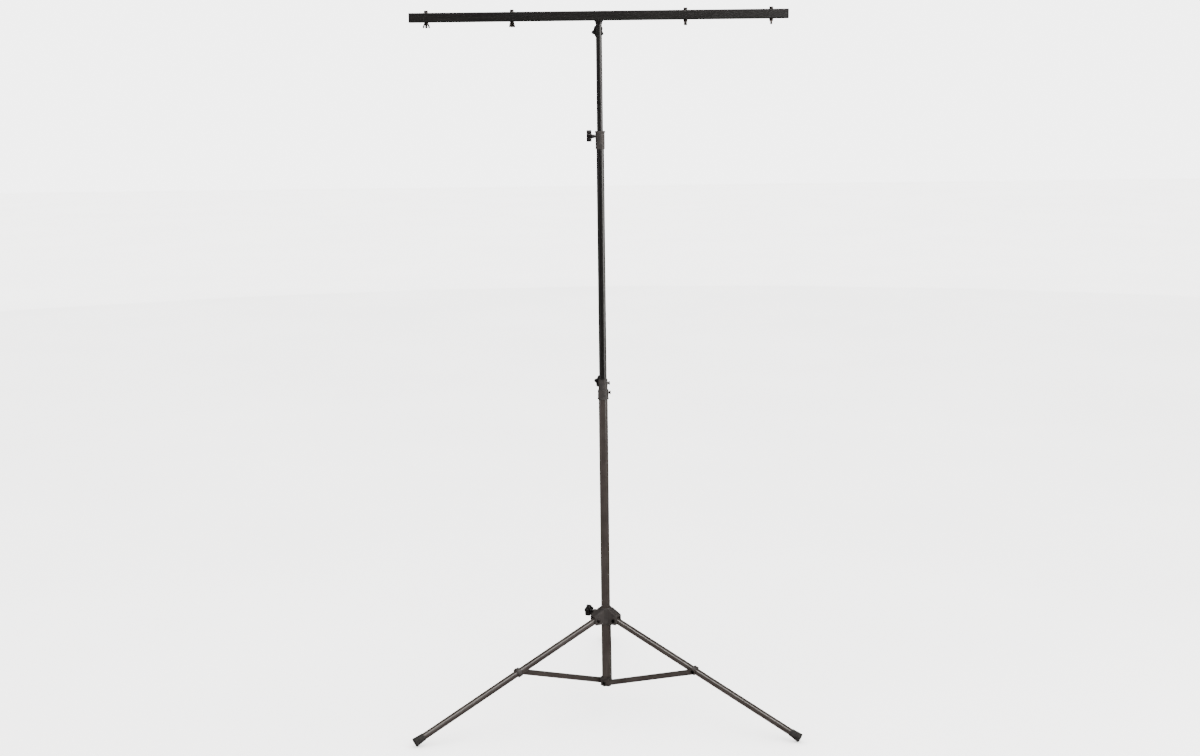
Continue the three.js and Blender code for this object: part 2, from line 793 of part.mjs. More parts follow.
lampBoltPlaces.forEach((place, index) => {
  const number = index + 1;
  const bolt = joined(
    rod(lampBoltRadius, boltTip, headSeat + lampBoltHeadHeight / 2, smallSides),
    rod(lampBoltHeadRadius, headSeat, headSeat + lampBoltHeadHeight, hexSides),
  );
  addPart(`t_bar_bolt_${number}`, bolt, colours.blackSteel).geometry.translate(place, 0, 0);
  addPart(`wing_nut_${number}`, wingNut(), colours.blackSteel).geometry
    .rotateZ(radians(wingNutAngles[index])).translate(place, 0, nutSeat);
});

// Knobs

addKnob('t_bar_knob', barKnobHeight, barKnobAzimuth, spigotRadius,
  barKnobBossReach, barKnobAngle);
addKnob('upper_collar_knob', upperKnobHeight, upperKnobAzimuth, upperTubeRadius,
  upperKnobPad, upperKnobAngle);
addKnob('middle_collar_knob', middleKnobHeight, middleKnobAzimuth, middleTubeRadius,
  middleKnobPad, middleKnobAngle);
addKnob('leg_collar_knob', legKnobHeight, legKnobAzimuth, lowerTubeRadius,
  legKnobBossReach, legKnobAngle);

// Origin at the middle of the footprint

const box = new THREE.Box3().setFromObject(group);
const centre = box.getCenter(new THREE.Vector3());
for (const mesh of group.children) {
  mesh.geometry.translate(-centre.x, -centre.y, -box.min.z);
}

export default group;
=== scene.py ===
import json
import math

import bmesh
import bpy
from mathutils import Matrix, Vector


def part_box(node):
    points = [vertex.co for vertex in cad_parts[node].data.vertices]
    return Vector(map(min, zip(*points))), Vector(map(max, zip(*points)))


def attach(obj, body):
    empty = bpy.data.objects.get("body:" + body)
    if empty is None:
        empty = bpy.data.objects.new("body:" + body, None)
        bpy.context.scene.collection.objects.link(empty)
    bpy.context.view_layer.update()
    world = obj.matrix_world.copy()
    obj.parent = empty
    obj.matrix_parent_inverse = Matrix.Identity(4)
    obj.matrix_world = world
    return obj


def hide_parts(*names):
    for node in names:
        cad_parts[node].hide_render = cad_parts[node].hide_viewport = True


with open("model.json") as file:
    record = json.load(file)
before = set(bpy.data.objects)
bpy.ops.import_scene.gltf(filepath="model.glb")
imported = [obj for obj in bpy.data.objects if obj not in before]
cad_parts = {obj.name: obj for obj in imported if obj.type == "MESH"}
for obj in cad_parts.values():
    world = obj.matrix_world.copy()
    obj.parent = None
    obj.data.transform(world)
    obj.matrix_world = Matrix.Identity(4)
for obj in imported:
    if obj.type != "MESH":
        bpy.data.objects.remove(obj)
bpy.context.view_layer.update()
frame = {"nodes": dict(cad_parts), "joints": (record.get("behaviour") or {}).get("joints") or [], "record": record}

# The visual model of a black telescopic lighting stand with a cross bar.
# Lengths are metres, +Z is up and the photograph is taken from the -Y side.

MM = 0.001
QUARTER_TURN = math.radians(90)

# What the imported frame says. Places come from it, so the pieces follow the CAD. POST is the
# foot of the post's axis.

BODIES = frame["record"]["behaviour"]["bodies"]
SLOTS = {part["node"]: part["material_slot"] for part in frame["record"]["subparts"]}
JOINTS = {joint["name"]: joint for joint in frame["joints"]}
POST = sum(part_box("lower_tube"), Vector()) / 2
POST.z = 0

# Sizes that several pieces share. A tube is its outer radius and its wall, and LIP is how far
# its lips are broken. The flat flanks of the brace clamps and of the hub, where the braces lie,
# stand out by FLANK_REACH.

LEG_NAMES = ("right", "left", "rear")
LEG_ANGLE = math.radians(23.5)
LOWER_TUBE = (15 * MM, 1.5 * MM)
MIDDLE_TUBE = (12.5 * MM, 1.5 * MM)
UPPER_TUBE = (10 * MM, 1.2 * MM)
LEG_TUBE = (11 * MM, 1.2 * MM)
CLEARANCE = 0.3 * MM
LIP = 0.45 * MM
FLANK_REACH = 15 * MM

# Camera at the photograph's place, fitted to the bar's ends, the collars and the feet. Its
# focal length was found in pixels of the photograph, whose width stands for the sensor's 36 mm.

CAMERA_DISTANCE = 5.5
CAMERA_HEIGHT = 2.068
CAMERA_SIDE = -0.0097
CAMERA_PITCH = math.radians(9.757)
CAMERA_ROLL = math.radians(-0.7)
FOCAL_PIXELS = 1705
PHOTO_WIDTH = 1200
SENSOR_WIDTH = 36

camera_data = bpy.data.cameras.new("photo_camera")
camera_data.sensor_width = SENSOR_WIDTH
camera_data.lens = FOCAL_PIXELS / PHOTO_WIDTH * SENSOR_WIDTH
camera = bpy.data.objects.new("photo_camera", camera_data)
camera.matrix_world = (
    Matrix.Translation((POST.x + CAMERA_SIDE, POST.y - CAMERA_DISTANCE, CAMERA_HEIGHT))
    @ Matrix.Rotation(QUARTER_TURN - CAMERA_PITCH, 4, "X")
    @ Matrix.Rotation(CAMERA_ROLL, 4, "Z")
)
bpy.context.collection.objects.link(camera)
bpy.context.scene.camera = camera


# Finishes

def add(tree, kind, inputs=None, stops=None, points=None, **settings):
    """Adds a node. Each input is a value or the socket that feeds it.

    Stops fill a colour ramp, and points a curve, evenly spaced along it.
    """
    node = tree.nodes.new(kind)
    for name, value in settings.items():
        setattr(node, name, value)
    for socket, value in (inputs or {}).items():
        if isinstance(value, bpy.types.NodeSocket):
            tree.links.new(value, node.inputs[socket])
        else:
            node.inputs[socket].default_value = value
    for index, (position, value) in enumerate(stops or ()):
        elements = node.color_ramp.elements
        element = elements[index] if index < len(elements) else elements.new(position)
        element.position = position
        element.color = value
    if points:
        node.mapping.use_clip = False
        handles = node.mapping.curves[0].points
        for index, value in enumerate(points):
            share = index / (len(points) - 1)
            handle = handles[index] if index < 2 else handles.new(share, value)
            handle.location = (share, value)
            handle.handle_type = "VECTOR"
        node.mapping.update()
    return node


def colour(code):
    """A linear colour from an sRGB hex code such as 1c1a19."""
    parts = [int(code[i:i + 2], 16) / 255 for i in (0, 2, 4)]
    linear = [p / 12.92 if p <= 0.04045 else ((p + 0.055) / 1.055) ** 2.4 for p in parts]
    return (*linear, 1.0)


def start(name, **values):
    """A new material with its shader and the Object coordinates that its patterns read."""
    material = bpy.data.materials.new(name)
    material.use_nodes = True
    tree = material.node_tree
    tree.nodes.clear()
    shader = add(tree, "ShaderNodeBsdfPrincipled",
                 {label.replace("_", " "): value for label, value in values.items()})
    add(tree, "ShaderNodeOutputMaterial", {"Surface": shader.outputs[0]})
    return material, tree, shader, add(tree, "ShaderNodeTexCoord").outputs["Object"]


def coat(name, pattern, tints, roughness, relief, **values):
    """A finish: a tint and a roughness that follow one pattern, and a bump from another.

    A pattern is its kind of texture, its size, its detail and its stretch along X, Y and Z.
    The relief is a pattern too, followed by the bump's strength and its depth.
    """
    material, tree, shader, place = start(name, **values)
    *grain, strength, depth = relief
    drawn = []
    for kind, size, detail, stretch in (pattern, grain):
        across = add(tree, "ShaderNodeMapping", {
            "Vector": place, "Scale": [1 / way for way in stretch]})
        drawn.append(add(tree, kind, {
            "Vector": across.outputs["Vector"], "Scale": 1 / size, "Detail": detail}).outputs[0])
    tint = add(tree, "ShaderNodeValToRGB", {"Fac": drawn[0]}, stops=tints)
    rough = add(tree, "ShaderNodeMapRange", {
        "Value": drawn[0], "To Min": roughness[0], "To Max": roughness[1]})
    bump = add(tree, "ShaderNodeBump", {
        "Height": drawn[1], "Strength": strength, "Distance": depth})
    tree.links.new(tint.outputs["Color"], shader.inputs["Base Color"])
    tree.links.new(rough.outputs["Result"], shader.inputs["Roughness"])
    tree.links.new(bump.outputs["Normal"], shader.inputs["Normal"])
    return material


CLOUDS = "ShaderNodeTexNoise"
CELLS = "ShaderNodeTexVoronoi"
EVEN = (1, 1, 1)

# Powder coat baked on steel tube. The orange peel of the real film is about 0.5 mm and is
# drawn at 1.2 mm so that it shows: it gives a dark brown-black with softly broken highlights.
PEEL = (CLOUDS, 1.2 * MM, 2.0, EVEN, 0.04, 0.03 * MM)
WORN_PEEL = (CLOUDS, 1.2 * MM, 2.0, EVEN, 0.01, 0.03 * MM)
COATED = {"IOR": 1.5, "Specular_IOR_Level": 0.25}

powder_coat = coat(
    "black_powder_coat", (CLOUDS, 60 * MM, 3.0, EVEN),
    [(0.35, colour("1c1816")), (0.65, colour("231f1d"))], (0.15, 0.22), PEEL, **COATED)

# The coat of the tubes that slide and of the bar that lamps are clamped to: the lower tube's paint,
# drawn a deeper black as painted shade, slightly duller, with faint paler rub marks along it.
rubbed_and_shaded_coat, clamped_and_shaded_coat = (
    coat(name, (CLOUDS, 1.6 * MM, 4.0, stretch),
         [(0.42, colour("060505")), (0.75, colour("0e0c0b"))], (0.24, 0.34), WORN_PEEL, **COATED)
    for name, stretch in (("rubbed_and_shaded_powder_coat", (1, 1, 80)),
                          ("clamped_and_shaded_powder_coat", (80, 1, 1))))

# Glass-filled nylon from a spark-eroded mould. The 0.2 mm grain is drawn at 0.8 mm so that
# it shows: it gives a flat warm grey with faint paler clouds.
moulded_nylon = coat(
    "moulded_glass_nylon", (CLOUDS, 14 * MM, 4.0, EVEN),
    [(0.3, colour("191615")), (0.7, colour("221e1c"))], (0.44, 0.58),
    (CELLS, 0.8 * MM, 0.0, EVEN, 0.14, 0.05 * MM), IOR=1.53, Specular_IOR_Level=0.15)

# Moulded phenolic for hand knobs: near black and satin, worn shinier in patches by hands.
satin_phenolic = coat(
    "satin_phenolic", (CLOUDS, 9 * MM, 3.0, EVEN),
    [(0.35, colour("060505")), (0.7, colour("0d0b0b"))], (0.26, 0.40),
    (CLOUDS, 0.7 * MM, 2.0, EVEN, 0.10, 0.04 * MM), IOR=1.6, Specular_IOR_Level=0.15)

# Moulded rubber: flat black with a greyish bloom and a little floor dust.
foot_rubber = coat(
    "moulded_rubber", (CLOUDS, 7 * MM, 5.0, EVEN),
    [(0.35, colour("0f0d0c")), (0.75, colour("1c1a18"))], (0.60, 0.82),
    (CLOUDS, 0.8 * MM, 3.0, EVEN, 0.22, 0.06 * MM), IOR=1.52, Specular_IOR_Level=0.15)

# Zinc-plated screw steel: pale grey metal, slightly clouded by the plating bath.
zinc_steel = coat(
    "zinc_plated_steel", (CLOUDS, 3 * MM, 3.0, EVEN),
    [(0.3, colour("6f6e6b")), (0.7, colour("8d8c88"))], (0.28, 0.42),
    (CLOUDS, 0.9 * MM, 3.0, EVEN, 0.10, 0.02 * MM), Metallic=1.0)

# Blackened fastener steel: dark oily grey with cloudy patches and a low metal sheen.
blackened_steel = coat(
    "blackened_steel", (CLOUDS, 4 * MM, 4.0, EVEN),
    [(0.3, colour("151312")), (0.7, colour("262321"))], (0.30, 0.46),
    (CLOUDS, 0.9 * MM, 3.0, EVEN, 0.12, 0.03 * MM), Metallic=1.0)

# Weld beads under the coat: as black as the upper tubes, whose deeper black is painted shade,
# and a little rougher.
coated_weld = coat(
    "coated_weld_bead", (CLOUDS, 2 * MM, 3.0, EVEN),
    [(0.35, colour("060505")), (0.65, colour("0e0c0b"))], (0.26, 0.40),
    (CLOUDS, 0.9 * MM, 3.0, EVEN, 0.18, 0.04 * MM), **COATED)

FINISHES = {
    "powder_coat": powder_coat,
    "moulding": moulded_nylon,
    "knob_plastic": satin_phenolic,
    "rubber": foot_rubber,
    "zinc_steel": zinc_steel,
    "black_steel": blackened_steel,
}


# Mesh making. Tubes and small turned pieces have a set number of sides. Points closer than
# MERGE become one, which closes seams, and so does a pole, a ring of POLE_RADIUS. A softened
# edge's middle point stands in from both faces by EDGE_SHARE of the edge's width. Faces that
# differ by less than FLAT_ANGLE are joined. An edge that turns by over CRISP_DEGREES is crisp.

TUBE_SIDES = 96
ROUND_SIDES = 48
MERGE = 0.001 * MM
POLE_RADIUS = 0.00001 * MM
EDGE_SHARE = 0.3
FLAT_ANGLE = math.radians(0.5)
CRISP_DEGREES = 32


def rings_to_mesh(name, rings, wrap=False):
    """A closed skin over rings of points. Without wrap, its two end rings are filled."""
    bm = bmesh.new()
    rows = [[bm.verts.new(point) for point in ring] for ring in rings]
    pairs = list(zip(rows, rows[1:]))
    if wrap:
        pairs.append((rows[-1], rows[0]))
    else:
        bm.faces.new(rows[0])
        bm.faces.new(rows[-1])
    for low, high in pairs:
        for index in range(len(low)):
            after = (index + 1) % len(low)
            bm.faces.new((low[index], low[after], high[after], high[index]))
    return tidy_mesh(name, bm)


def tidy_mesh(name, bm, place=Matrix.Identity(4)):
    """Merges doubled points, turns the faces outward and gives the result as a mesh."""
    bmesh.ops.remove_doubles(bm, verts=bm.verts, dist=MERGE)
    bmesh.ops.transform(bm, matrix=place, verts=bm.verts)
    bmesh.ops.recalc_face_normals(bm, faces=bm.faces)
    return as_mesh(name, bm)


def as_mesh(name, bm):
    """The mesh that a bmesh describes."""
    mesh = bpy.data.meshes.new(name)
    bm.to_mesh(mesh)
    bm.free()
    return mesh


def gathered(name, meshes):
    """One mesh from several shells."""
    bm = bmesh.new()
    for mesh in meshes:
        bm.from_mesh(mesh)
    return as_mesh(name, bm)


def softened(corners, radius, steps=4):
    """A closed outline of points with each corner rounded, less where an edge is short."""
    points = [Vector(corner) for corner in corners]
    soft = []
    for index, corner in enumerate(points):
        before = points[index - 1] - corner
        after = points[(index + 1) % len(points)] - corner
        reach = min(radius, before.length / 2, after.length / 2)
        first = corner + before.normalized() * reach
        last = corner + after.normalized() * reach
        for step in range(steps + 1):
            t = step / steps
            soft.append(first * (1 - t) ** 2 + corner * 2 * t * (1 - t) + last * t * t)
    return soft


def circle(radius, height, sides):
    """A ring of points round Z."""
    angles = [math.tau * k / sides for k in range(sides)]
    return [(radius * math.cos(angle), radius * math.sin(angle), height) for angle in angles]


def turned(name, section, place):
    """A turned ring or sleeve from a closed section of radius and height."""
    mesh = rings_to_mesh(name, [circle(*point, TUBE_SIDES) for point in section], wrap=True)
    mesh.transform(place)
    return mesh


def turned_solid(name, section, place, sides=ROUND_SIDES):
    """A solid of revolution. The section runs from the axis out and back to the axis."""
    mesh = rings_to_mesh(name, [
        circle(max(radius, POLE_RADIUS), height, sides) for radius, height in section])
    mesh.transform(place)
    return mesh


def drawn_tube(name, size, low, high, place):
    """A length of drawn tube with both lips broken."""
    outer, wall = size
    corners = [(outer - wall, low), (outer, low), (outer, high), (outer - wall, high)]
    return turned(name, softened(corners, LIP), place)


def stub(name, radius, low, high, place, edge, sides=ROUND_SIDES):
    """A short round boss with a softened end."""
    near = edge * EDGE_SHARE
    return turned_solid(name, [
        (0, low), (radius, low), (radius, high - edge), (radius - near, high - near),
        (radius - edge, high), (0, high)], place, sides)


def cad_copy(node):
    """The CAD node's mesh, merged and with its flat faces joined."""
    bm = bmesh.new()
    bm.from_mesh(frame["nodes"][node].data)
    bmesh.ops.remove_doubles(bm, verts=bm.verts, dist=MERGE)
    bmesh.ops.dissolve_limit(bm, angle_limit=FLAT_ANGLE, verts=bm.verts, edges=bm.edges)
    return as_mesh(node, bm)


def shaped(mesh, *modifiers):
    """The mesh with modifiers applied, each given as its kind and its settings."""
    carrier = bpy.data.objects.new(mesh.name, mesh)
    bpy.context.collection.objects.link(carrier)
    for kind, settings in modifiers:
        modifier = carrier.modifiers.new(kind, kind)
        for label, value in settings.items():
            setattr(modifier, label, value)
    graph = bpy.context.evaluated_depsgraph_get()
    result = bpy.data.meshes.new_from_object(carrier.evaluated_get(graph))
    carrier.modifiers.clear()
    bpy.data.objects.remove(carrier)
    return result


def broken_edges(mesh, width):
    """The mesh with its crisp edges rounded, as a mould leaves them."""
    return shaped(mesh, ("BEVEL", {"width": width, "segments": 3, "limit_method": "ANGLE",
                                   "angle_limit": math.radians(CRISP_DEGREES)}))


def cast(mesh, grain, rounds):
    """The mesh as one casting: its shells run together and its edges and corners rounded.

    The grain is the size of the cells that it is rebuilt from. It is smoothed rounds times.
    """
    return shaped(mesh, ("REMESH", {"mode": "VOXEL", "voxel_size": grain}),
                  ("SMOOTH", {"factor": 0.5, "iterations": rounds}))


def body_of(node):
    """The body that a CAD node belongs to."""
    return next(body for body, nodes in BODIES.items() if node in nodes)


def piece(name, mesh, node, finish=None, sharp=CRISP_DEGREES, replace=True):
    """Puts a mesh in the scene as a piece that rides with a CAD node's body.

    An edge that turns by more than sharp degrees stays crisp.
    """
    mesh.shade_smooth()
    mesh.set_sharp_from_angle(angle=math.radians(sharp))
    mesh = shaped(mesh, ("WEIGHTED_NORMAL", {"keep_sharp": True}))
    made = bpy.data.objects.new(name, mesh)
    bpy.context.collection.objects.link(made)
    mesh.materials.clear()
    mesh.materials.append(finish or FINISHES[SLOTS[node]])
    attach(made, body_of(node))
    if replace:
        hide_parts(node)


# Places on the stand

def span(node):
    """The lowest and highest Z of a CAD node."""
    low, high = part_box(node)
    return low.z, high.z


def upright(height=0.0):
    """Local Z runs up the post's axis."""
    return Matrix.Translation((POST.x, POST.y, height))


def outward(azimuth, height):
    """Local Z runs out from the post's axis along an azimuth."""
    return (upright(height) @ Matrix.Rotation(azimuth, 4, "Z")
            @ Matrix.Rotation(QUARTER_TURN, 4, "Y"))


def azimuth_of(joint):
    """The azimuth that a knob's screw points along."""
    axis = JOINTS[joint]["axis"]
    return math.atan2(axis[1], axis[0])


def height_of(joint):
    """The height of a joint."""
    return JOINTS[joint]["pos_m"][2]


def leg_azimuth(name):
    """The azimuth that a leg points along. Its hinge runs across it."""
    axis = JOINTS["leg_hinge_" + name]["axis"]
    return math.atan2(-axis[0], axis[1])


def hinge_place(name):
    """A frame at a leg's hinge whose X points along the leg's azimuth."""
    return (Matrix.Translation(JOINTS["leg_hinge_" + name]["pos_m"])
            @ Matrix.Rotation(leg_azimuth(name), 4, "Z"))


def leg_place(name):
    """A frame at a leg's hinge whose Z runs down the leg."""
    return hinge_place(name) @ Matrix.Rotation(QUARTER_TURN + LEG_ANGLE, 4, "Y")


# Geometry Nodes trees for what repeats or follows a rule

def shape_tree(name, sizes):
    """A Geometry Nodes tree with one named input for each size, and those inputs."""
    tree = bpy.data.node_groups.new(name, "GeometryNodeTree")
    tree.interface.new_socket("Geometry", in_out="OUTPUT", socket_type="NodeSocketGeometry")
    for label in sizes:
        kind = "NodeSocketInt" if label.endswith(("count", "seed")) else "NodeSocketFloat"
        tree.interface.new_socket(label, in_out="INPUT", socket_type=kind)
    tree.interface.new_socket("Finish", in_out="INPUT", socket_type="NodeSocketMaterial")
    return tree, add(tree, "NodeGroupInput").outputs


def close_tree(tree, geometry, finish):
    """Ends a tree with real geometry that carries its material."""
    real = add(tree, "GeometryNodeRealizeInstances", {"Geometry": geometry})
    coated = add(tree, "GeometryNodeSetMaterial", {
        "Geometry": real.outputs["Geometry"], "Material": finish})
    add(tree, "NodeGroupOutput", {"Geometry": coated.outputs["Geometry"]})


def grown(tree, place, finish, **sizes):
    """The mesh that a tree makes from its sizes, moved to its place."""
    carrier = bpy.data.objects.new(tree.name, bpy.data.meshes.new(tree.name))
    bpy.context.collection.objects.link(carrier)
    modifier = carrier.modifiers.new("nodes", "NODES")
    modifier.node_group = tree
    values = {label.replace("_", " "): value for label, value in sizes.items()}
    values["Finish"] = finish
    for item in tree.interface.items_tree:
        if item.in_out == "INPUT":
            modifier[item.identifier] = values[item.name]
    graph = bpy.context.evaluated_depsgraph_get()
    mesh = bpy.data.meshes.new_from_object(carrier.evaluated_get(graph))
    carrier.modifiers.clear()
    bpy.data.objects.remove(carrier)
    bm = bmesh.new()
    bm.from_mesh(mesh)
    return tidy_mesh(tree.name, bm, place)


def rows_round(tree, around, rows):
    """A sheet to be bent round an axis, with its angle and its share of the way along."""
    sheet = add(tree, "GeometryNodeMeshGrid", {
        "Size X": 1.0, "Size Y": 1.0, "Vertices X": around + 1, "Vertices Y": rows})
    place = add(tree, "GeometryNodeInputPosition")
    split = add(tree, "ShaderNodeSeparateXYZ", {0: place.outputs[0]})
    angle = add(tree, "ShaderNodeMath", {0: split.outputs["X"], 1: math.tau, 2: math.pi},
                operation="MULTIPLY_ADD")
    along = add(tree, "ShaderNodeMath", {0: split.outputs["Y"], 1: 0.5}, operation="ADD")
    return sheet.outputs["Mesh"], angle.outputs[0], along.outputs[0]


def bent_round(tree, sheet, angle, radius, height):
    """Bends the sheet round Z at a radius and a height, and joins its seam."""
    cosine = add(tree, "ShaderNodeMath", {0: angle}, operation="COSINE")
    sine = add(tree, "ShaderNodeMath", {0: angle}, operation="SINE")
    x = add(tree, "ShaderNodeMath", {0: radius, 1: cosine.outputs[0]}, operation="MULTIPLY")
    y = add(tree, "ShaderNodeMath", {0: radius, 1: sine.outputs[0]}, operation="MULTIPLY")
    point = add(tree, "ShaderNodeCombineXYZ", {
        "X": x.outputs[0], "Y": y.outputs[0], "Z": height})
    bent = add(tree, "GeometryNodeSetPosition", {
        "Geometry": sheet, "Position": point.outputs[0]})
    return add(tree, "GeometryNodeMergeByDistance", {
        "Geometry": bent.outputs[0], "Distance": MERGE}).outputs[0]


def row_curves(tree, along, rows):
    """One value for each column of a table of rows, by the share of the way along."""
    return [add(tree, "ShaderNodeFloatCurve", {"Value": along}, points=column).outputs[0]
            for column in zip(*rows)]


def summed(tree, *terms):
    """The sum of products of two sockets or values."""
    total = 0.0
    for first, second in terms:
        total = add(tree, "ShaderNodeMath", {0: first, 1: second, 2: total},
                    operation="MULTIPLY_ADD").outputs[0]
    return total


KNOB_SIDES = 100
LOBE_FADE = 3.0
# One row for each ring of points on a star knob, from its neck's end to the middle of its
# face: shares of the neck's radius, the head's radius, the neck's length and the head's depth.
KNOB_ROWS = (
    (0.00, 0.00, 0.00, 0.00), (0.90, 0.00, 0.00, 0.00), (1.00, 0.00, 0.08, 0.00),
    (1.00, 0.00, 0.82, 0.00), (1.18, 0.00, 0.97, 0.00), (1.60, 0.00, 1.00, 0.00),
    (0.00, 0.92, 1.00, 0.00), (0.00, 0.99, 1.00, 0.05), (0.00, 1.00, 1.00, 0.16),
    (0.00, 1.00, 1.00, 0.84), (0.00, 0.99, 1.00, 0.94), (0.00, 0.92, 1.00, 1.00),
    (0.00, 0.66, 1.00, 1.00), (0.00, 0.60, 1.00, 0.95), (0.00, 0.54, 1.00, 0.93),
    (0.00, 0.26, 1.00, 0.95), (0.00, 0.00, 1.00, 0.96),
)


def star_knob_tree():
    """A knob whose rim swings between crest and valley, once for each lobe."""
    tree, size = shape_tree("star_knob", (
        "Crest radius", "Valley radius", "Neck radius", "Neck length", "Head depth",
        "Lobe count"))
    sheet, angle, along = rows_round(tree, KNOB_SIDES, len(KNOB_ROWS))
    neck, head, neck_way, head_way = row_curves(tree, along, KNOB_ROWS)
    turns = add(tree, "ShaderNodeMath", {0: angle, 1: size["Lobe count"]},
                operation="MULTIPLY")
    wave = add(tree, "ShaderNodeMath", {0: turns.outputs[0]}, operation="COSINE").outputs[0]
    swing = add(tree, "ShaderNodeMath", {0: size["Crest radius"], 1: size["Valley radius"]},
                operation="SUBTRACT").outputs[0]
    half_wave = summed(tree, (wave, 0.5), (0.5, 1.0))
    # The swing fades towards the middle of the face, where the head's share is small.
    fade = add(tree, "ShaderNodeMath", {0: head, 1: LOBE_FADE}, operation="POWER").outputs[0]
    lobe = add(tree, "ShaderNodeMath", {0: half_wave, 1: fade}, operation="MULTIPLY").outputs[0]
    radius = summed(tree, (neck, size["Neck radius"]), (head, size["Valley radius"]),
                    (lobe, swing))
    height = summed(tree, (neck_way, size["Neck length"]), (head_way, size["Head depth"]))
    body = bent_round(tree, sheet, angle, radius, height)
    smooth = add(tree, "GeometryNodeSubdivisionSurface", {"Mesh": body, "Level": 1})
    close_tree(tree, smooth.outputs[0], size["Finish"])
    return tree


# A hexagon head's flats follow one another by HEX_TURN, and its corners are turned off down to
# a round crown, a share of the head's width across its flats.
HEX_SIDES = 96
HEX_TURN = math.tau / 6
HEX_CHAMFER = math.radians(30)
CROWN_SHARE = 0.95
# Rings of points on a hexagon head, from the middle of its underside to the middle of its top:
# shares of the hexagon's radius, of the round crown's radius, of the height, and of the drop
# that turning the corners off gives.
HEX_ROWS = ((0, 0, 0, 0), (1, 0, 0, 0), (1, 0, 1, 1), (0, 1, 1, 0), (0, 0, 1, 0))


def hex_head_tree():
    """A hexagon head with its top corners turned off."""
    tree, size = shape_tree("hex_head", ("Corner radius", "Height"))
    sheet, angle, along = rows_round(tree, HEX_SIDES, len(HEX_ROWS))
    side, round_top, rise, drop = row_curves(tree, along, HEX_ROWS)
    sixth = add(tree, "ShaderNodeMath", {0: angle, 1: HEX_TURN}, operation="FLOORED_MODULO")
    lean = add(tree, "ShaderNodeMath", {0: sixth.outputs[0], 1: HEX_TURN / 2},
               operation="SUBTRACT")
    cosine = add(tree, "ShaderNodeMath", {0: lean.outputs[0]}, operation="COSINE")
    flat = add(tree, "ShaderNodeMath", {0: size["Corner radius"], 1: math.cos(HEX_TURN / 2)},
               operation="MULTIPLY").outputs[0]
    hexagon = add(tree, "ShaderNodeMath", {0: flat, 1: cosine.outputs[0]},
                  operation="DIVIDE").outputs[0]
    crown = add(tree, "ShaderNodeMath", {0: flat, 1: CROWN_SHARE},
                operation="MULTIPLY").outputs[0]
    radius = summed(tree, (side, hexagon), (round_top, crown))
    past = add(tree, "ShaderNodeMath", {0: hexagon, 1: crown}, operation="SUBTRACT").outputs[0]
    cut = summed(tree, (past, drop))
    height = summed(tree, (rise, size["Height"]), (cut, -math.tan(HEX_CHAMFER)))
    close_tree(tree, bent_round(tree, sheet, angle, radius, height), size["Finish"])
    return tree


THREAD_SIDES = 32
THREAD_ROWS = 257
# Half the way along, less a hair, so that only the two end rows are left out.
THREAD_INSIDE = 0.4999


def screw_thread_tree():
    """A round bar with a screw thread cut along its upper part."""
    tree, size = shape_tree("screw_thread", (
        "Radius", "Length", "Plain length", "Thread depth", "Pitch"))
    sheet, angle, along = rows_round(tree, THREAD_SIDES, THREAD_ROWS)
    height = add(tree, "ShaderNodeMath", {0: along, 1: size["Length"]},
                 operation="MULTIPLY").outputs[0]
    turns = add(tree, "ShaderNodeMath", {0: height, 1: size["Pitch"]}, operation="DIVIDE")
    phase = add(tree, "ShaderNodeMath", {
        0: angle, 1: -1 / math.tau, 2: turns.outputs[0]}, operation="MULTIPLY_ADD")
    # The groove's share rises to a half and falls back along each pitch, so it is doubled.
    groove = add(tree, "ShaderNodeMath", {0: phase.outputs[0], 1: 0.5}, operation="PINGPONG")
    threaded = add(tree, "ShaderNodeMath", {0: height, 1: size["Plain length"]},
                   operation="GREATER_THAN")
    half_cut = summed(tree, (groove.outputs[0], size["Thread depth"]))
    cut = summed(tree, (half_cut, -2.0))
    bar = summed(tree, (cut, threaded.outputs[0]), (size["Radius"], 1.0))
    # The two end rows fall to the axis and close the ends.
    inside = add(tree, "ShaderNodeMath", {0: along, 1: 0.5, 2: THREAD_INSIDE},
                 operation="COMPARE")
    radius = add(tree, "ShaderNodeMath", {0: bar, 1: inside.outputs[0]},
                 operation="MULTIPLY").outputs[0]
    close_tree(tree, bent_round(tree, sheet, angle, radius, height), size["Finish"])
    return tree


RIVET_SIDES = 40
# Rings of points on a round-headed rivet, from the top of its head to its shank's end:
# shares of the head's radius, the shank's radius, the head's height and the shank's length.
RIVET_ROWS = (
    (0.00, 0.00, 1.00, 0.00), (0.42, 0.00, 0.97, 0.00), (0.74, 0.00, 0.82, 0.00),
    (0.93, 0.00, 0.52, 0.00), (1.00, 0.00, 0.20, 0.00), (0.98, 0.00, 0.00, 0.00),
    (0.00, 1.00, 0.00, 0.00), (0.00, 1.00, 0.00, -1.00), (0.00, 0.00, 0.00, -1.00),
)


def dome_rivet_tree():
    """A rivet with a low domed head, its head up and its shank below."""
    tree, size = shape_tree("dome_rivet", (
        "Head radius", "Shank radius", "Head height", "Shank length"))
    sheet, angle, along = rows_round(tree, RIVET_SIDES, len(RIVET_ROWS))
    head, shank, rise, fall = row_curves(tree, along, RIVET_ROWS)
    radius = summed(tree, (head, size["Head radius"]), (shank, size["Shank radius"]))
    height = summed(tree, (rise, size["Head height"]), (fall, size["Shank length"]))
    close_tree(tree, bent_round(tree, sheet, angle, radius, height), size["Finish"])
    return tree


RIB_SIDES = 64
RIB_SECTION_SIDES = 10


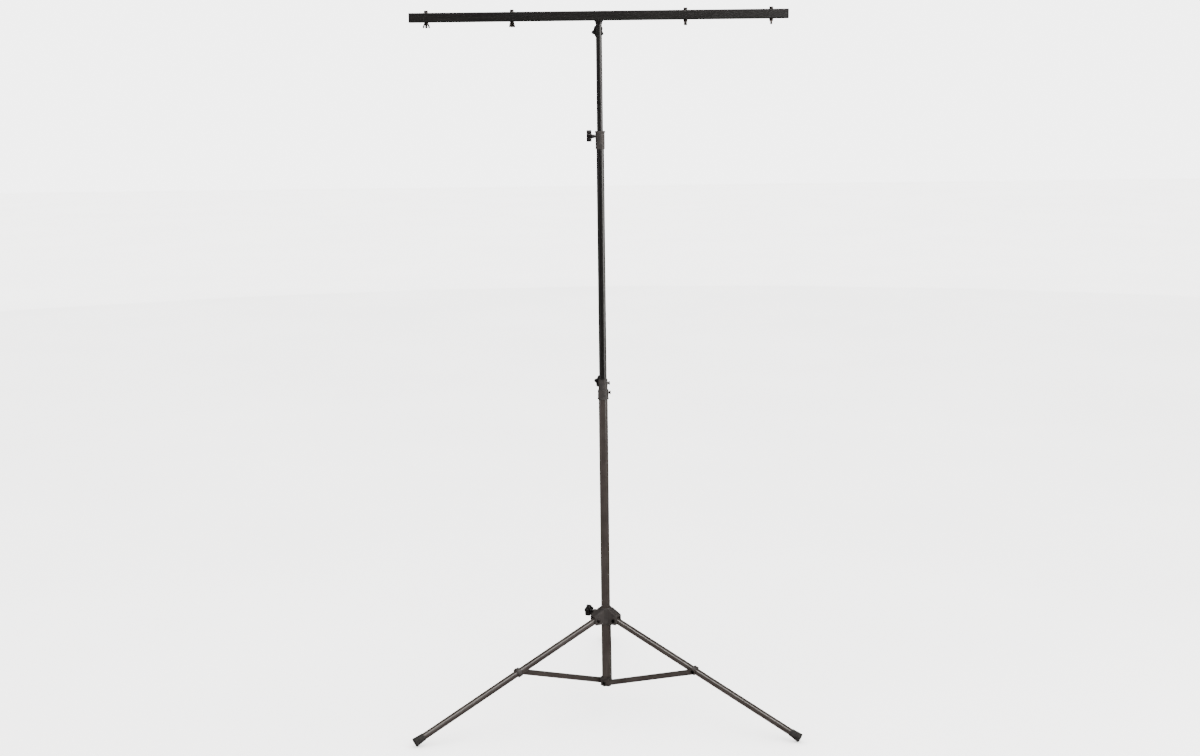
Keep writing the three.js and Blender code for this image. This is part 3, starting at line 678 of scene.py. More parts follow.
def grip_ribs_tree():
    """Round ribs at an even pitch along Z, each a little wider than the one before."""
    tree, size = shape_tree("grip_ribs", (
        "Rib count", "Pitch", "First radius", "Growth", "Rib radius"))
    step = add(tree, "ShaderNodeCombineXYZ", {"Z": size["Pitch"]})
    line = add(tree, "GeometryNodeMeshLine", {
        "Count": size["Rib count"], "Offset": step.outputs[0]}, mode="OFFSET")
    path = add(tree, "GeometryNodeCurvePrimitiveCircle", {
        "Resolution": RIB_SIDES, "Radius": size["First radius"]})
    section = add(tree, "GeometryNodeCurvePrimitiveCircle", {
        "Resolution": RIB_SECTION_SIDES, "Radius": size["Rib radius"]})
    ring = add(tree, "GeometryNodeCurveToMesh", {
        "Curve": path.outputs["Curve"], "Profile Curve": section.outputs["Curve"]})
    index = add(tree, "GeometryNodeInputIndex")
    scale = add(tree, "ShaderNodeMath", {0: index.outputs[0], 1: size["Growth"], 2: 1.0},
                operation="MULTIPLY_ADD")
    wide = add(tree, "ShaderNodeCombineXYZ", {
        "X": scale.outputs[0], "Y": scale.outputs[0], "Z": 1.0})
    ribs = add(tree, "GeometryNodeInstanceOnPoints", {
        "Points": line.outputs["Mesh"], "Instance": ring.outputs["Mesh"],
        "Scale": wide.outputs[0]})
    close_tree(tree, ribs.outputs[0], size["Finish"])
    return tree


# The least and most of a ripple's random scale along X, Y and Z
RIPPLE_LEAST = (0.85, 0.85, 0.7)
RIPPLE_MOST = (1.1, 1.1, 0.9)


def weld_bead_tree():
    """A ring of overlapping weld ripples. On a tube it rises and falls with the surface."""
    tree, size = shape_tree("weld_bead", (
        "Ripple count", "Ring radius", "Tube radius", "Ripple radius", "Weld seed"))
    ring = add(tree, "GeometryNodeMeshCircle", {
        "Vertices": size["Ripple count"], "Radius": size["Ring radius"]})
    place = add(tree, "GeometryNodeInputPosition")
    split = add(tree, "ShaderNodeSeparateXYZ", {0: place.outputs[0]})
    across = summed(tree, (split.outputs["Y"], split.outputs["Y"]))
    square = summed(tree, (size["Tube radius"], size["Tube radius"]), (across, -1.0))
    inside = add(tree, "ShaderNodeMath", {0: square, 1: 0.0}, operation="MAXIMUM")
    rise = add(tree, "ShaderNodeMath", {0: inside.outputs[0]}, operation="SQRT")
    lift = add(tree, "ShaderNodeCombineXYZ", {"Z": rise.outputs[0]})
    laid = add(tree, "GeometryNodeSetPosition", {
        "Geometry": ring.outputs["Mesh"], "Offset": lift.outputs[0]})
    ripple = add(tree, "GeometryNodeMeshIcoSphere", {
        "Radius": size["Ripple radius"], "Subdivisions": 2})
    uneven = add(tree, "FunctionNodeRandomValue", {
        "Min": RIPPLE_LEAST, "Max": RIPPLE_MOST, "Seed": size["Weld seed"]},
        data_type="FLOAT_VECTOR")
    beads = add(tree, "GeometryNodeInstanceOnPoints", {
        "Points": laid.outputs[0], "Instance": ripple.outputs["Mesh"],
        "Scale": uneven.outputs[0]})
    close_tree(tree, beads.outputs[0], size["Finish"])
    return tree


STAR_KNOB = star_knob_tree()
HEX_HEAD = hex_head_tree()
SCREW_THREAD = screw_thread_tree()
DOME_RIVET = dome_rivet_tree()
GRIP_RIBS = grip_ribs_tree()
WELD_BEAD = weld_bead_tree()


# Post tubes, and the boss on the upper tube that takes the bar's knob

BOSS_RADIUS = 8 * MM
BOSS_BORE = 3.3 * MM
BOSS_REACH = 14 * MM
BOSS_EDGE = 0.6 * MM
BOSS_SEAT = UPPER_TUBE[0] - UPPER_TUBE[1] / 2
BOSS_WELD = {"Ripple_count": 56, "Ring_radius": BOSS_RADIUS, "Tube_radius": UPPER_TUBE[0],
             "Ripple_radius": 1 * MM, "Weld_seed": 3}
BUSH_EDGE = 0.3 * MM


def post_tube(node, size):
    """A drawn tube of the post, from one end of its CAD node to the other."""
    return drawn_tube(node, size, *span(node), upright())


def boss_ring(radius, height=None):
    """A ring of points round the boss. Without a height it follows the tube's wall."""
    ring = []
    for x, y, _ in circle(radius, 0, ROUND_SIDES):
        seat = math.sqrt(BOSS_SEAT ** 2 - y ** 2)
        ring.append((x, y, seat if height is None else height))
    return ring


def knob_boss(place):
    """The boss with its bore, saddled on the tube's wall."""
    near = BOSS_EDGE * EDGE_SHARE
    boss = rings_to_mesh("boss", [
        boss_ring(BOSS_BORE),
        boss_ring(BOSS_RADIUS),
        boss_ring(BOSS_RADIUS, BOSS_REACH - BOSS_EDGE),
        boss_ring(BOSS_RADIUS - near, BOSS_REACH - near),
        boss_ring(BOSS_RADIUS - BOSS_EDGE, BOSS_REACH),
        boss_ring(BOSS_BORE, BOSS_REACH)], wrap=True)
    boss.transform(place)
    return boss


piece("lower_tube_drawn", post_tube("lower_tube", LOWER_TUBE), "lower_tube")
piece("middle_tube_drawn", post_tube("middle_tube", MIDDLE_TUBE), "middle_tube", rubbed_and_shaded_coat)

boss_place = outward(azimuth_of("t_bar_knob_turn"), height_of("t_bar_knob_turn"))
upper_tube = gathered("upper_tube", [post_tube("upper_tube", UPPER_TUBE), knob_boss(boss_place)])
piece("upper_tube_drawn", upper_tube, "upper_tube", rubbed_and_shaded_coat)
piece("upper_tube_boss_weld", grown(WELD_BEAD, boss_place, coated_weld, **BOSS_WELD),
      "upper_tube", coated_weld, sharp=60, replace=False)

for bush in ("middle_tube_bush", "upper_tube_bush"):
    piece(bush + "_moulded", broken_edges(cad_copy(bush), BUSH_EDGE), bush)


# Cross bar

BAR_SIDE = 30 * MM
BAR_WALL = 2 * MM
BAR_CORNER = 2.6 * MM
BAR_BORE = BAR_SIDE - 2 * BAR_WALL
BORE_CORNER = BAR_CORNER - BAR_WALL / 2
LEAST_CORNER = 0.2 * MM


def rounded_square(side, corner, x, inset=0.0):
    """Points round a square with rounded corners, in the plane at x."""
    half = side / 2 - inset
    corners = [(-half, -half), (half, -half), (half, half), (-half, half)]
    outline = softened(corners, max(corner - inset, LEAST_CORNER), steps=6)
    return [(x, y, z) for y, z in outline]


def square_tube(half_length):
    """The bar about its own middle, with the lips at both ends broken."""
    flat = half_length - LIP
    outside = [rounded_square(BAR_SIDE, BAR_CORNER, x, inset) for x, inset in (
        (-half_length, LIP), (-flat, 0), (flat, 0), (half_length, LIP))]
    inside = [rounded_square(BAR_BORE, BORE_CORNER, x, inset) for x, inset in (
        (half_length, -LIP / 2), (flat, 0), (-flat, 0), (-half_length, -LIP / 2))]
    return rings_to_mesh("t_bar", outside + inside, wrap=True)


bar_low, bar_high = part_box("t_bar")
bar_middle = (bar_low + bar_high) / 2
bar_tube = square_tube((bar_high.x - bar_low.x) / 2)
bar_tube.transform(Matrix.Translation(bar_middle))
piece("t_bar_square_tube", bar_tube, "t_bar", clamped_and_shaded_coat, sharp=50)


# End caps. CAP_DOME gives the rings of the domed face, from its middle outward: how far each
# lies behind the middle, and how far in from the bar's sides.

CAP_DEPTH = 6 * MM
CAP_EDGE = 0.3 * MM
PLUG_SIDE = BAR_BORE - 2 * CLEARANCE
PLUG_EDGE = 1 * MM
CAP_DOME = (
    (0, 7 * MM), (0.05 * MM, 5 * MM), (0.35 * MM, 2 * MM), (0.8 * MM, 0.9 * MM),
    (1.5 * MM, 0.25 * MM), (2.2 * MM, 0))


def end_cap(node, inward):
    """A cap with a plug that fills the bar's bore."""
    low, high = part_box(node)
    outer, inner = (low.x, high.x) if inward > 0 else (high.x, low.x)
    back = outer + inward * CAP_DEPTH
    rings = [rounded_square(BAR_SIDE, BAR_CORNER, outer + inward * behind, inset)
             for behind, inset in CAP_DOME]
    rings += [
        rounded_square(BAR_SIDE, BAR_CORNER, back - inward * CAP_EDGE),
        rounded_square(BAR_SIDE, BAR_CORNER, back, CAP_EDGE),
        rounded_square(PLUG_SIDE, BORE_CORNER, back),
        rounded_square(PLUG_SIDE, BORE_CORNER, inner - inward * PLUG_EDGE),
        rounded_square(PLUG_SIDE, BORE_CORNER, inner, PLUG_EDGE)]
    mesh = rings_to_mesh(node, rings)
    mesh.transform(Matrix.Translation((0, bar_middle.y, bar_middle.z)))
    return mesh


for side, inward in (("left", 1), ("right", -1)):
    cap = "t_bar_end_cap_" + side
    piece(cap + "_moulded", end_cap(cap, inward), cap)


# Bar socket: a cone welded under the bar, and a spigot that turns in the upper tube.
# CONE_FLARE gives how much wider than the upper tube the cone is, and how far up from its foot.

CONE_HEIGHT = 13 * MM - CLEARANCE
CONE_RADIUS = 14 * MM
CONE_EDGE = 0.4 * MM
CONE_FLARE = ((0.5 * MM, 3.5 * MM), (1.6 * MM, 7.5 * MM))
BRIM_INSET = 0.5 * MM
BRIM_DROP = 1.2 * MM
SPIGOT_RADIUS = UPPER_TUBE[0] - UPPER_TUBE[1] - CLEARANCE
SPIGOT_EDGE = 1 * MM
SOCKET_WELD_DROP = 0.5 * MM
SOCKET_WELD = {"Ripple_count": 90, "Ring_radius": CONE_RADIUS - 0.3 * MM, "Tube_radius": 0.0,
               "Ripple_radius": 1.1 * MM, "Weld_seed": 7}


def bar_socket(low, high):
    """The cone and its spigot, turned in one piece."""
    foot = high - CONE_HEIGHT
    tube = UPPER_TUBE[0]
    flare = [(tube + wider, foot + above) for wider, above in CONE_FLARE]
    return turned_solid("t_bar_socket", [
        (0, low), (SPIGOT_RADIUS - SPIGOT_EDGE, low), (SPIGOT_RADIUS, low + SPIGOT_EDGE),
        (SPIGOT_RADIUS, foot), (tube - CONE_EDGE, foot), (tube, foot + CONE_EDGE), *flare,
        (CONE_RADIUS - BRIM_INSET, high - BRIM_DROP), (CONE_RADIUS, high), (0, high)],
        upright(), TUBE_SIDES)


socket_low, socket_high = span("t_bar_socket")
piece("t_bar_socket_turned", bar_socket(socket_low, socket_high), "t_bar_socket", rubbed_and_shaded_coat)
piece("t_bar_socket_weld",
      grown(WELD_BEAD, upright(socket_high - SOCKET_WELD_DROP), coated_weld, **SOCKET_WELD),
      "t_bar_socket", coated_weld, sharp=60, replace=False)


# Lamp bolts and wing nuts. A bolt's shank starts inside its head, BOLT_OVERLAP up from the
# head's seat, and its head is turned so that a corner faces front.

LAMP_BOLTS = 4
BOLT_HEAD = {"Corner_radius": 7 * MM, "Height": 7 * MM}
BOLT_SHANK = {"Radius": 4 * MM, "Plain_length": 28 * MM, "Thread_depth": 0.6 * MM,
              "Pitch": 1.5 * MM}
BOLT_OVERLAP = 1 * MM
BOLT_TURN = math.radians(30)
NUT_GRAIN = 0.42 * MM
NUT_ROUNDS = 7


def lamp_bolt(node):
    """A hexagon-headed bolt, its head up and its threaded end down."""
    low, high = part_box(node)
    middle = (low + high) / 2
    seat = high.z - BOLT_HEAD["Height"]
    top = seat + BOLT_OVERLAP
    head_place = (Matrix.Translation((middle.x, POST.y, seat))
                  @ Matrix.Rotation(BOLT_TURN, 4, "Z"))
    shank_place = (Matrix.Translation((middle.x, POST.y, top))
                   @ Matrix.Rotation(math.pi, 4, "X"))
    return gathered(node, [
        grown(HEX_HEAD, head_place, blackened_steel, **BOLT_HEAD),
        grown(SCREW_THREAD, shank_place, blackened_steel, Length=top - low.z, **BOLT_SHANK)])


for number in range(1, LAMP_BOLTS + 1):
    bolt = f"t_bar_bolt_{number}"
    nut = f"wing_nut_{number}"
    piece(bolt + "_threaded", lamp_bolt(bolt), bolt)
    piece(nut + "_cast", cast(cad_copy(nut), NUT_GRAIN, NUT_ROUNDS), nut, sharp=60)


# Clamp collars. A pad rises out of a collar's wall where a knob or a screw seats, and its root
# is sunk in the wall.

COLLAR_EDGE = 1.1 * MM
PAD_RISE = 0.8 * MM
PAD_SINK = 2 * MM
NECK_PAD_SINK = 1.8 * MM
PAD_EDGE = 0.5 * MM
SCREW_PAD_RADIUS = 7 * MM

UPPER_COLLAR_RADIUS = 15 * MM
UPPER_BRIM_RADIUS = 16.5 * MM
UPPER_BRIM_HEIGHT = 6 * MM

MIDDLE_SKIRT_RADIUS = 18.5 * MM
MIDDLE_SKIRT_HEIGHT = 4 * MM
MIDDLE_BODY_RADIUS = 17.5 * MM
MIDDLE_BODY_RISE = 4 * MM
MIDDLE_NECK_RADIUS = 15 * MM


def pad(radius, azimuth, height, wall, sink):
    """A round pad on a collar's wall."""
    return stub("pad", radius, wall - sink, wall + PAD_RISE, outward(azimuth, height), PAD_EDGE)


def knob_pad(collar, wall, sink):
    """The pad that a collar's knob seats on."""
    joint = collar + "_knob_turn"
    return pad(BOSS_RADIUS, azimuth_of(joint), height_of(joint), wall, sink)


def step_collar(node, outside, outer_tube, inner_tube, step, pads):
    """A moulded sleeve that grips an outer tube below its step and an inner tube above it."""
    low, high = span(node)
    lower_bore = outer_tube[0] + CLEARANCE
    upper_bore = inner_tube[0] + CLEARANCE
    section = [(lower_bore, low), *outside, (upper_bore, high), (upper_bore, step),
               (lower_bore, step)]
    sleeve = turned(node, softened(section, COLLAR_EDGE), upright())
    piece(node + "_moulded", gathered(node, [sleeve, *pads]), node)


def upper_collar():
    """The collar at the middle tube's top, with a wider brim."""
    low, high = span("upper_collar")
    brim = high - UPPER_BRIM_HEIGHT
    outside = [(UPPER_COLLAR_RADIUS, low), (UPPER_COLLAR_RADIUS, brim),
               (UPPER_BRIM_RADIUS, brim), (UPPER_BRIM_RADIUS, high)]
    step_collar("upper_collar", outside, MIDDLE_TUBE, UPPER_TUBE,
                span("middle_tube")[1] + CLEARANCE,
                [knob_pad("upper_collar", UPPER_COLLAR_RADIUS, PAD_SINK)])


def screw_height(name):
    """The height of one of the middle collar's screws."""
    low, high = span("middle_collar_screw_" + name)
    return (low + high) / 2


def middle_collar():
    """The collar at the lower tube's top: a skirt, a body and a narrower neck."""
    low, high = span("middle_collar")
    tube_top = span("lower_tube")[1]
    skirt = low + MIDDLE_SKIRT_HEIGHT
    shoulder = tube_top + MIDDLE_BODY_RISE
    outside = [(MIDDLE_SKIRT_RADIUS, low), (MIDDLE_SKIRT_RADIUS, skirt),
               (MIDDLE_BODY_RADIUS, skirt), (MIDDLE_BODY_RADIUS, shoulder),
               (MIDDLE_NECK_RADIUS, shoulder), (MIDDLE_NECK_RADIUS, high)]
    step_collar("middle_collar", outside, LOWER_TUBE, MIDDLE_TUBE, tube_top + CLEARANCE, [
        knob_pad("middle_collar", MIDDLE_NECK_RADIUS, NECK_PAD_SINK),
        pad(SCREW_PAD_RADIUS, 0, screw_height("upper"), MIDDLE_NECK_RADIUS, NECK_PAD_SINK),
        pad(SCREW_PAD_RADIUS, 0, screw_height("lower"), MIDDLE_BODY_RADIUS, PAD_SINK)])


upper_collar()
middle_collar()


# Collar screws. SCREW_HEAD gives the head from its neck over its rim to the recess in its top:
# each point's radius, and how far it lies below the top.

SCREW_RADIUS = 2.5 * MM
SCREW_TIP_EDGE = 0.3 * MM
SCREW_NECK_RADIUS = 4 * MM
SCREW_HEAD = (
    (SCREW_NECK_RADIUS, 4.5 * MM), (5.7 * MM, 4.5 * MM), (6.2 * MM, 4 * MM),
    (6.2 * MM, 1.6 * MM), (5.7 * MM, 0.6 * MM), (4.6 * MM, 0), (2.4 * MM, 0),
    (2.1 * MM, 1.6 * MM), (0, 1.9 * MM))


def collar_screw(node, place, wall):
    """A screw through a collar's wall, its neck on the pad and its head clear of it."""
    low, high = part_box(node)
    tip = low.x - POST.x
    top = high.x - POST.x
    seat = wall + PAD_RISE + CLEARANCE
    head = [(radius, top - below) for radius, below in SCREW_HEAD]
    return turned_solid(node, [
        (0, tip), (SCREW_RADIUS - SCREW_TIP_EDGE, tip), (SCREW_RADIUS, tip + SCREW_TIP_EDGE),
        (SCREW_RADIUS, seat), (SCREW_NECK_RADIUS, seat), *head], place)


for name, wall in (("lower", MIDDLE_BODY_RADIUS), ("upper", MIDDLE_NECK_RADIUS)):
    screw = "middle_collar_screw_" + name
    piece(screw + "_turned", collar_screw(screw, outward(0, screw_height(name)), wall), screw)


# Star knobs, each with its screw. KNOB_TURNS gives how far each is turned, in degrees.

KNOB_TURNS = {"t_bar_knob": -8, "upper_collar_knob": 18, "middle_collar_knob": 11,
              "leg_collar_knob": 20}
KNOB_SIZES = {"Crest_radius": 20 * MM, "Valley_radius": 14.5 * MM, "Neck_radius": 6 * MM,
              "Neck_length": 10.9 * MM, "Head_depth": 16.5 * MM, "Lobe_count": 5}
KNOB_SCREW = {"Radius": 3 * MM, "Plain_length": 0.0, "Thread_depth": 0.5 * MM,
              "Pitch": 1.2 * MM}


def reach_along(node, azimuth):
    """The nearest and the farthest that a CAD node stands from the post along an azimuth."""
    out = Vector((math.cos(azimuth), math.sin(azimuth), 0))
    reaches = [(vertex.co - POST).dot(out) for vertex in frame["nodes"][node].data.vertices]
    return min(reaches), max(reaches)


for knob, degrees in KNOB_TURNS.items():
    azimuth = azimuth_of(knob + "_turn")
    axis = outward(azimuth, height_of(knob + "_turn"))
    seat, _ = reach_along(knob, azimuth)
    knob_place = (axis @ Matrix.Rotation(QUARTER_TURN + math.radians(degrees), 4, "Z")
                  @ Matrix.Translation((0, 0, seat)))
    piece(knob + "_moulded", grown(STAR_KNOB, knob_place, satin_phenolic, **KNOB_SIZES), knob,
          sharp=45)

    screw = knob + "_screw"
    tip, end = reach_along(screw, azimuth)
    screw_place = axis @ Matrix.Translation((0, 0, tip))
    piece(screw + "_threaded", grown(SCREW_THREAD, screw_place, zinc_steel, Length=end - tip,
                                     **KNOB_SCREW), screw)


# Leg collar: a thick moulding, so its edges and inner corners are well rounded.

LEG_COLLAR_GRAIN = 0.7 * MM
LEG_COLLAR_ROUNDS = 13

piece("leg_collar_moulded", cast(cad_copy("leg_collar"), LEG_COLLAR_GRAIN, LEG_COLLAR_ROUNDS),
      "leg_collar", sharp=70)


# Legs and their rubber feet. Lengths along a leg start at its hinge. FOOT_RIM gives how much
# wider than the foot's top its rounded rim is, or narrower with a minus, and how far below the
# top. FOOT_SKIRT gives how much narrower than the sole the skirt is, and how far above its end.

LEG_REACH = 730 * MM
LEG_BACK = 7 * MM
FOOT_LENGTH = 35 * MM
FOOT_TOP = LEG_REACH - FOOT_LENGTH
FOOT_TOP_RADIUS = 12.5 * MM
FOOT_BORE = LEG_TUBE[0] + CLEARANCE
MOUTH_FLARE = 0.3 * MM
MOUTH_DEPTH = 0.5 * MM
FOOT_RIM = ((-0.4 * MM, 0), (0, 0.6 * MM), (0.3 * MM, 2.4 * MM), (-0.1 * MM, 3.2 * MM))
SOLE_RADIUS = 15 * MM
SOLE_THICKNESS = 5 * MM
FOOT_SKIRT = ((1.6 * MM, 17 * MM), (0.6 * MM, 3 * MM), (0, 2.2 * MM), (0, 0.9 * MM),
              (0.9 * MM, 0))
RIBS_START = LEG_REACH - 16.5 * MM
RIB_SIZES = {"Rib_count": 4, "Pitch": 3.6 * MM, "First_radius": SOLE_RADIUS - 1.7 * MM,
             "Growth": 0.02, "Rib_radius": 0.8 * MM}


def leg_tube(leg):
    """A leg's tube, from behind its hinge to the inside of its foot."""
    end = LEG_REACH - SOLE_THICKNESS - CLEARANCE
    return drawn_tube("leg_tube", LEG_TUBE, -LEG_BACK, end, leg)


def leg_foot(leg):
    """A foot that sleeves the tube, with ribs round its skirt."""
    floor_of_bore = LEG_REACH - SOLE_THICKNESS
    rim = [(FOOT_TOP_RADIUS + wider, FOOT_TOP + below) for wider, below in FOOT_RIM]
    skirt = [(SOLE_RADIUS - inset, LEG_REACH - above) for inset, above in FOOT_SKIRT]
    foot = turned_solid("leg_foot", [
        (0, floor_of_bore), (FOOT_BORE, floor_of_bore), (FOOT_BORE, FOOT_TOP + MOUTH_DEPTH),
        (FOOT_BORE + MOUTH_FLARE, FOOT_TOP), *rim, *skirt, (0, LEG_REACH)], leg, TUBE_SIDES)
    ribs_place = leg @ Matrix.Translation((0, 0, RIBS_START))
    return gathered("leg_foot", [foot, grown(GRIP_RIBS, ribs_place, foot_rubber, **RIB_SIZES)])


# Brace clamps, which sit round the legs

CLAMP_PLACE = 321 * MM
CLAMP_LENGTH = 14 * MM
CLAMP_RADIUS = 15.5 * MM
CLAMP_EDGE = 1 * MM


def flanked_ring(radius, height):
    """A ring of points with a flat on both flanks."""
    return [(x, max(-FLANK_REACH, min(FLANK_REACH, y)), z)
            for x, y, z in circle(radius, height, TUBE_SIDES)]


def brace_clamp(leg):
    """A collar round a leg, flat where its brace lies."""
    bore = LEG_TUBE[0] + CLEARANCE
    top = CLAMP_PLACE - CLAMP_LENGTH / 2
    foot = CLAMP_PLACE + CLAMP_LENGTH / 2
    section = softened([(bore, top), (CLAMP_RADIUS, top), (CLAMP_RADIUS, foot), (bore, foot)],
                       CLAMP_EDGE)
    clamp = rings_to_mesh("brace_clamp", [flanked_ring(*point) for point in section], wrap=True)
    clamp.transform(leg)
    return clamp


# Leg pivot bolts: a hexagon head at each side of the leg collar's knuckle, and a plain shank
# that runs into both

KNUCKLE_HALF = 16.5 * MM
PIVOT_SEAT = KNUCKLE_HALF + CLEARANCE
PIVOT_HEAD = {"Corner_radius": 6 * MM, "Height": 4 * MM}
PIVOT_RADIUS = 3 * MM
PIVOT_OVERLAP = 1 * MM
PIVOT_EDGE = 0.6 * MM


def leg_pivot_bolt(name):
    """The bolt across a leg's hinge."""
    across = hinge_place(name) @ Matrix.Rotation(QUARTER_TURN, 4, "X")
    half_turn = Matrix.Rotation(math.pi, 4, "X")
    seat = Matrix.Translation((0, 0, PIVOT_SEAT))
    half_shank = PIVOT_SEAT + PIVOT_OVERLAP
    return gathered("leg_pivot_bolt", [
        grown(HEX_HEAD, across @ seat, blackened_steel, **PIVOT_HEAD),
        grown(HEX_HEAD, across @ half_turn @ seat, blackened_steel, **PIVOT_HEAD),
        stub("shank", PIVOT_RADIUS, -half_shank, half_shank, across, PIVOT_EDGE)])


# Braces. BRACE_RINGS goes from the inner face over the rim and down to the pan that a rivet's
# head sits in: how far in from the outline each ring stands, and how far out from the inner face.

BRACE_EYE = 11.5 * MM
BRACE_HALF = 9.25 * MM
BRACE_INNER = FLANK_REACH + CLEARANCE
BRACE_RIM = 3.5 * MM
BRACE_PAN = 1.5 * MM
BRACE_RINGS = (
    (0.35 * MM, 0), (0, 0.35 * MM), (0, BRACE_RIM - 0.4 * MM), (0.3 * MM, BRACE_RIM),
    (1.2 * MM, BRACE_RIM), (1.5 * MM, BRACE_RIM - 0.3 * MM), (1.6 * MM, BRACE_PAN + 0.6 * MM),
    (2.2 * MM, BRACE_PAN))
EYE_STEPS = 48
END_STEPS = 24


def hub_place(name):
    """A frame on the post's axis at a brace's hinge, whose X points along its leg's azimuth."""
    return (upright(height_of("brace_hinge_" + name))
            @ Matrix.Rotation(leg_azimuth(name), 4, "Z"))


def brace_place(name):
    """A frame whose X runs along a brace to its clamp, and the brace's length."""
    hinge = Vector(JOINTS["leg_hinge_" + name]["pos_m"])
    out = (hinge - POST).xy.length + CLAMP_PLACE * math.cos(LEG_ANGLE)
    clamp_height = hinge.z - CLAMP_PLACE * math.sin(LEG_ANGLE)
    rise = clamp_height - height_of("brace_hinge_" + name)
    slope = Matrix.Rotation(-math.atan2(rise, out), 4, "Y")
    return hub_place(name) @ slope, math.hypot(out, rise)


def strap_outline(length, inset, y):
    """The outline of a brace: a round eye about the origin and a round end at length."""
    eye = BRACE_EYE - inset
    half = BRACE_HALF - inset
    meeting = math.asin(half / eye)
    points = []
    for k in range(EYE_STEPS + 1):
        angle = meeting + (math.tau - 2 * meeting) * k / EYE_STEPS
        points.append((eye * math.cos(angle), y, eye * math.sin(angle)))
    for k in range(END_STEPS + 1):
        angle = -math.pi / 2 + math.pi * k / END_STEPS
        points.append((length + half * math.cos(angle), y, half * math.sin(angle)))
    return points


def pressed_strap(place, length):
    """A brace with a raised rim round its outer face."""
    strap = rings_to_mesh("brace", [strap_outline(length, inset, -BRACE_INNER - depth)
                                    for inset, depth in BRACE_RINGS])
    strap.transform(place)
    return strap


# Brace rivets: the pin at a brace's clamp, and the bolt that runs into the hub

RIVET_SIZES = {"Head_radius": 6 * MM, "Shank_radius": 3 * MM, "Head_height": 3.6 * MM}
RIVET_SEAT = BRACE_INNER + BRACE_PAN + CLEARANCE
HUB_BOLT_END = 6 * MM


def brace_rivet(node, place, end):
    """A domed rivet across a brace. Its shank ends this far from the leg's middle plane."""
    across = (place @ Matrix.Rotation(QUARTER_TURN, 4, "X")
              @ Matrix.Translation((0, 0, RIVET_SEAT)))
    piece(node + "_domed", grown(DOME_RIVET, across, blackened_steel,
                                 Shank_length=RIVET_SEAT - end, **RIVET_SIZES), node, sharp=50)


for name in LEG_NAMES:
    leg = leg_place(name)
    brace, brace_length = brace_place(name)
    piece(f"leg_tube_{name}_drawn", leg_tube(leg), f"leg_tube_{name}", powder_coat)
    piece(f"leg_foot_{name}_moulded", leg_foot(leg), f"leg_foot_{name}")
    piece(f"brace_clamp_{name}_moulded", brace_clamp(leg), f"brace_clamp_{name}")
    piece(f"leg_pivot_bolt_{name}_hex", leg_pivot_bolt(name), f"leg_pivot_bolt_{name}")
    piece(f"brace_{name}_pressed", pressed_strap(brace, brace_length), f"brace_{name}",
          powder_coat)
    brace_rivet(f"brace_pin_{name}", brace @ Matrix.Translation((brace_length, 0, 0)),
                BRACE_INNER)
    brace_rivet(f"brace_bolt_{name}", hub_place(name), HUB_BOLT_END)


# Base hub. HUB_EDGE gives the rounding of its two ends: how far in, and how far from the end.

HUB_CORNER = 20 * MM
HUB_ROUNDING = 1.5 * MM
HUB_HEIGHT = 29 * MM
HUB_EDGE = ((1 * MM, 0), (0.3 * MM, 0.3 * MM), (0, 1 * MM))
HUB_PLUG_RADIUS = LOWER_TUBE[0] - LOWER_TUBE[1] - CLEARANCE
HUB_PLUG_SINK = 2 * MM
HUB_PLUG_EDGE = 1 * MM


def hub_ring(inset, height):
    """Points round the hub's three flats and its three cut corners."""
    flat = FLANK_REACH - inset
    corner = HUB_CORNER - inset
    half_flat = (corner - flat / 2) / math.sin(math.pi / 3)
    points = []
    for turn in range(len(LEG_NAMES)):
        angle = math.tau * turn / len(LEG_NAMES)
        for y in (-half_flat, half_flat):
            points.append((flat * math.cos(angle) - y * math.sin(angle),
                           flat * math.sin(angle) + y * math.cos(angle)))
    return [(x, y, height) for x, y in softened(points, HUB_ROUNDING, steps=5)]


def base_hub():
    """The hub's block, and the plug on it that the lower tube sits over."""
    low, high = span("base_hub")
    top = low + HUB_HEIGHT
    rings = [hub_ring(inset, low + along) for inset, along in HUB_EDGE]
    rings += [hub_ring(inset, top - along) for inset, along in reversed(HUB_EDGE)]
    block = rings_to_mesh("base_hub", rings)
    block.transform(upright())
    plug = stub("plug", HUB_PLUG_RADIUS, top - HUB_PLUG_SINK, high, upright(), HUB_PLUG_EDGE,
                TUBE_SIDES)
    return gathered("base_hub", [block, plug])


piece("base_hub_moulded", base_hub(), "base_hub")


# Studio floor and surround

FLOOR_HALF = 30
SURROUND_STRENGTH = 5.0

# White sheet on the floor: matt and nearly even, so it burns out to the photograph's white.
white_sheet = coat(
    "white_studio_sheet", (CLOUDS, 1.4, 3.0, EVEN),
    [(0.3, colour("f4f3f2")), (0.7, colour("f8f7f6"))], (0.65, 0.75),
    (CLOUDS, 0.4, 2.0, EVEN, 0.02, 1 * MM))
floor_mesh = bpy.data.meshes.new("studio_floor")
floor_mesh.from_pydata(
    [(-FLOOR_HALF, -FLOOR_HALF, 0), (FLOOR_HALF, -FLOOR_HALF, 0), (FLOOR_HALF, FLOOR_HALF, 0),
     (-FLOOR_HALF, FLOOR_HALF, 0)], [], [(0, 1, 2, 3)])
floor_mesh.materials.append(white_sheet)
floor = bpy.data.objects.new("studio_floor", floor_mesh)
bpy.context.collection.objects.link(floor)
floor.visible_glossy = False

world = bpy.data.worlds.new("studio_world")
bpy.context.scene.world = world
world.use_nodes = True
background = world.node_tree.nodes["Background"]
background.inputs["Color"].default_value = colour("ffffff")
background.inputs["Strength"].default_value = SURROUND_STRENGTH


# What reflections see: a tent of grey cloth in place of the white floor, so that the tubes'
# edges stay dark against the pale surround, and three glowing cards in it.

TENT_RADIUS = 12
CARD_LIGHT = colour("fffaf4")


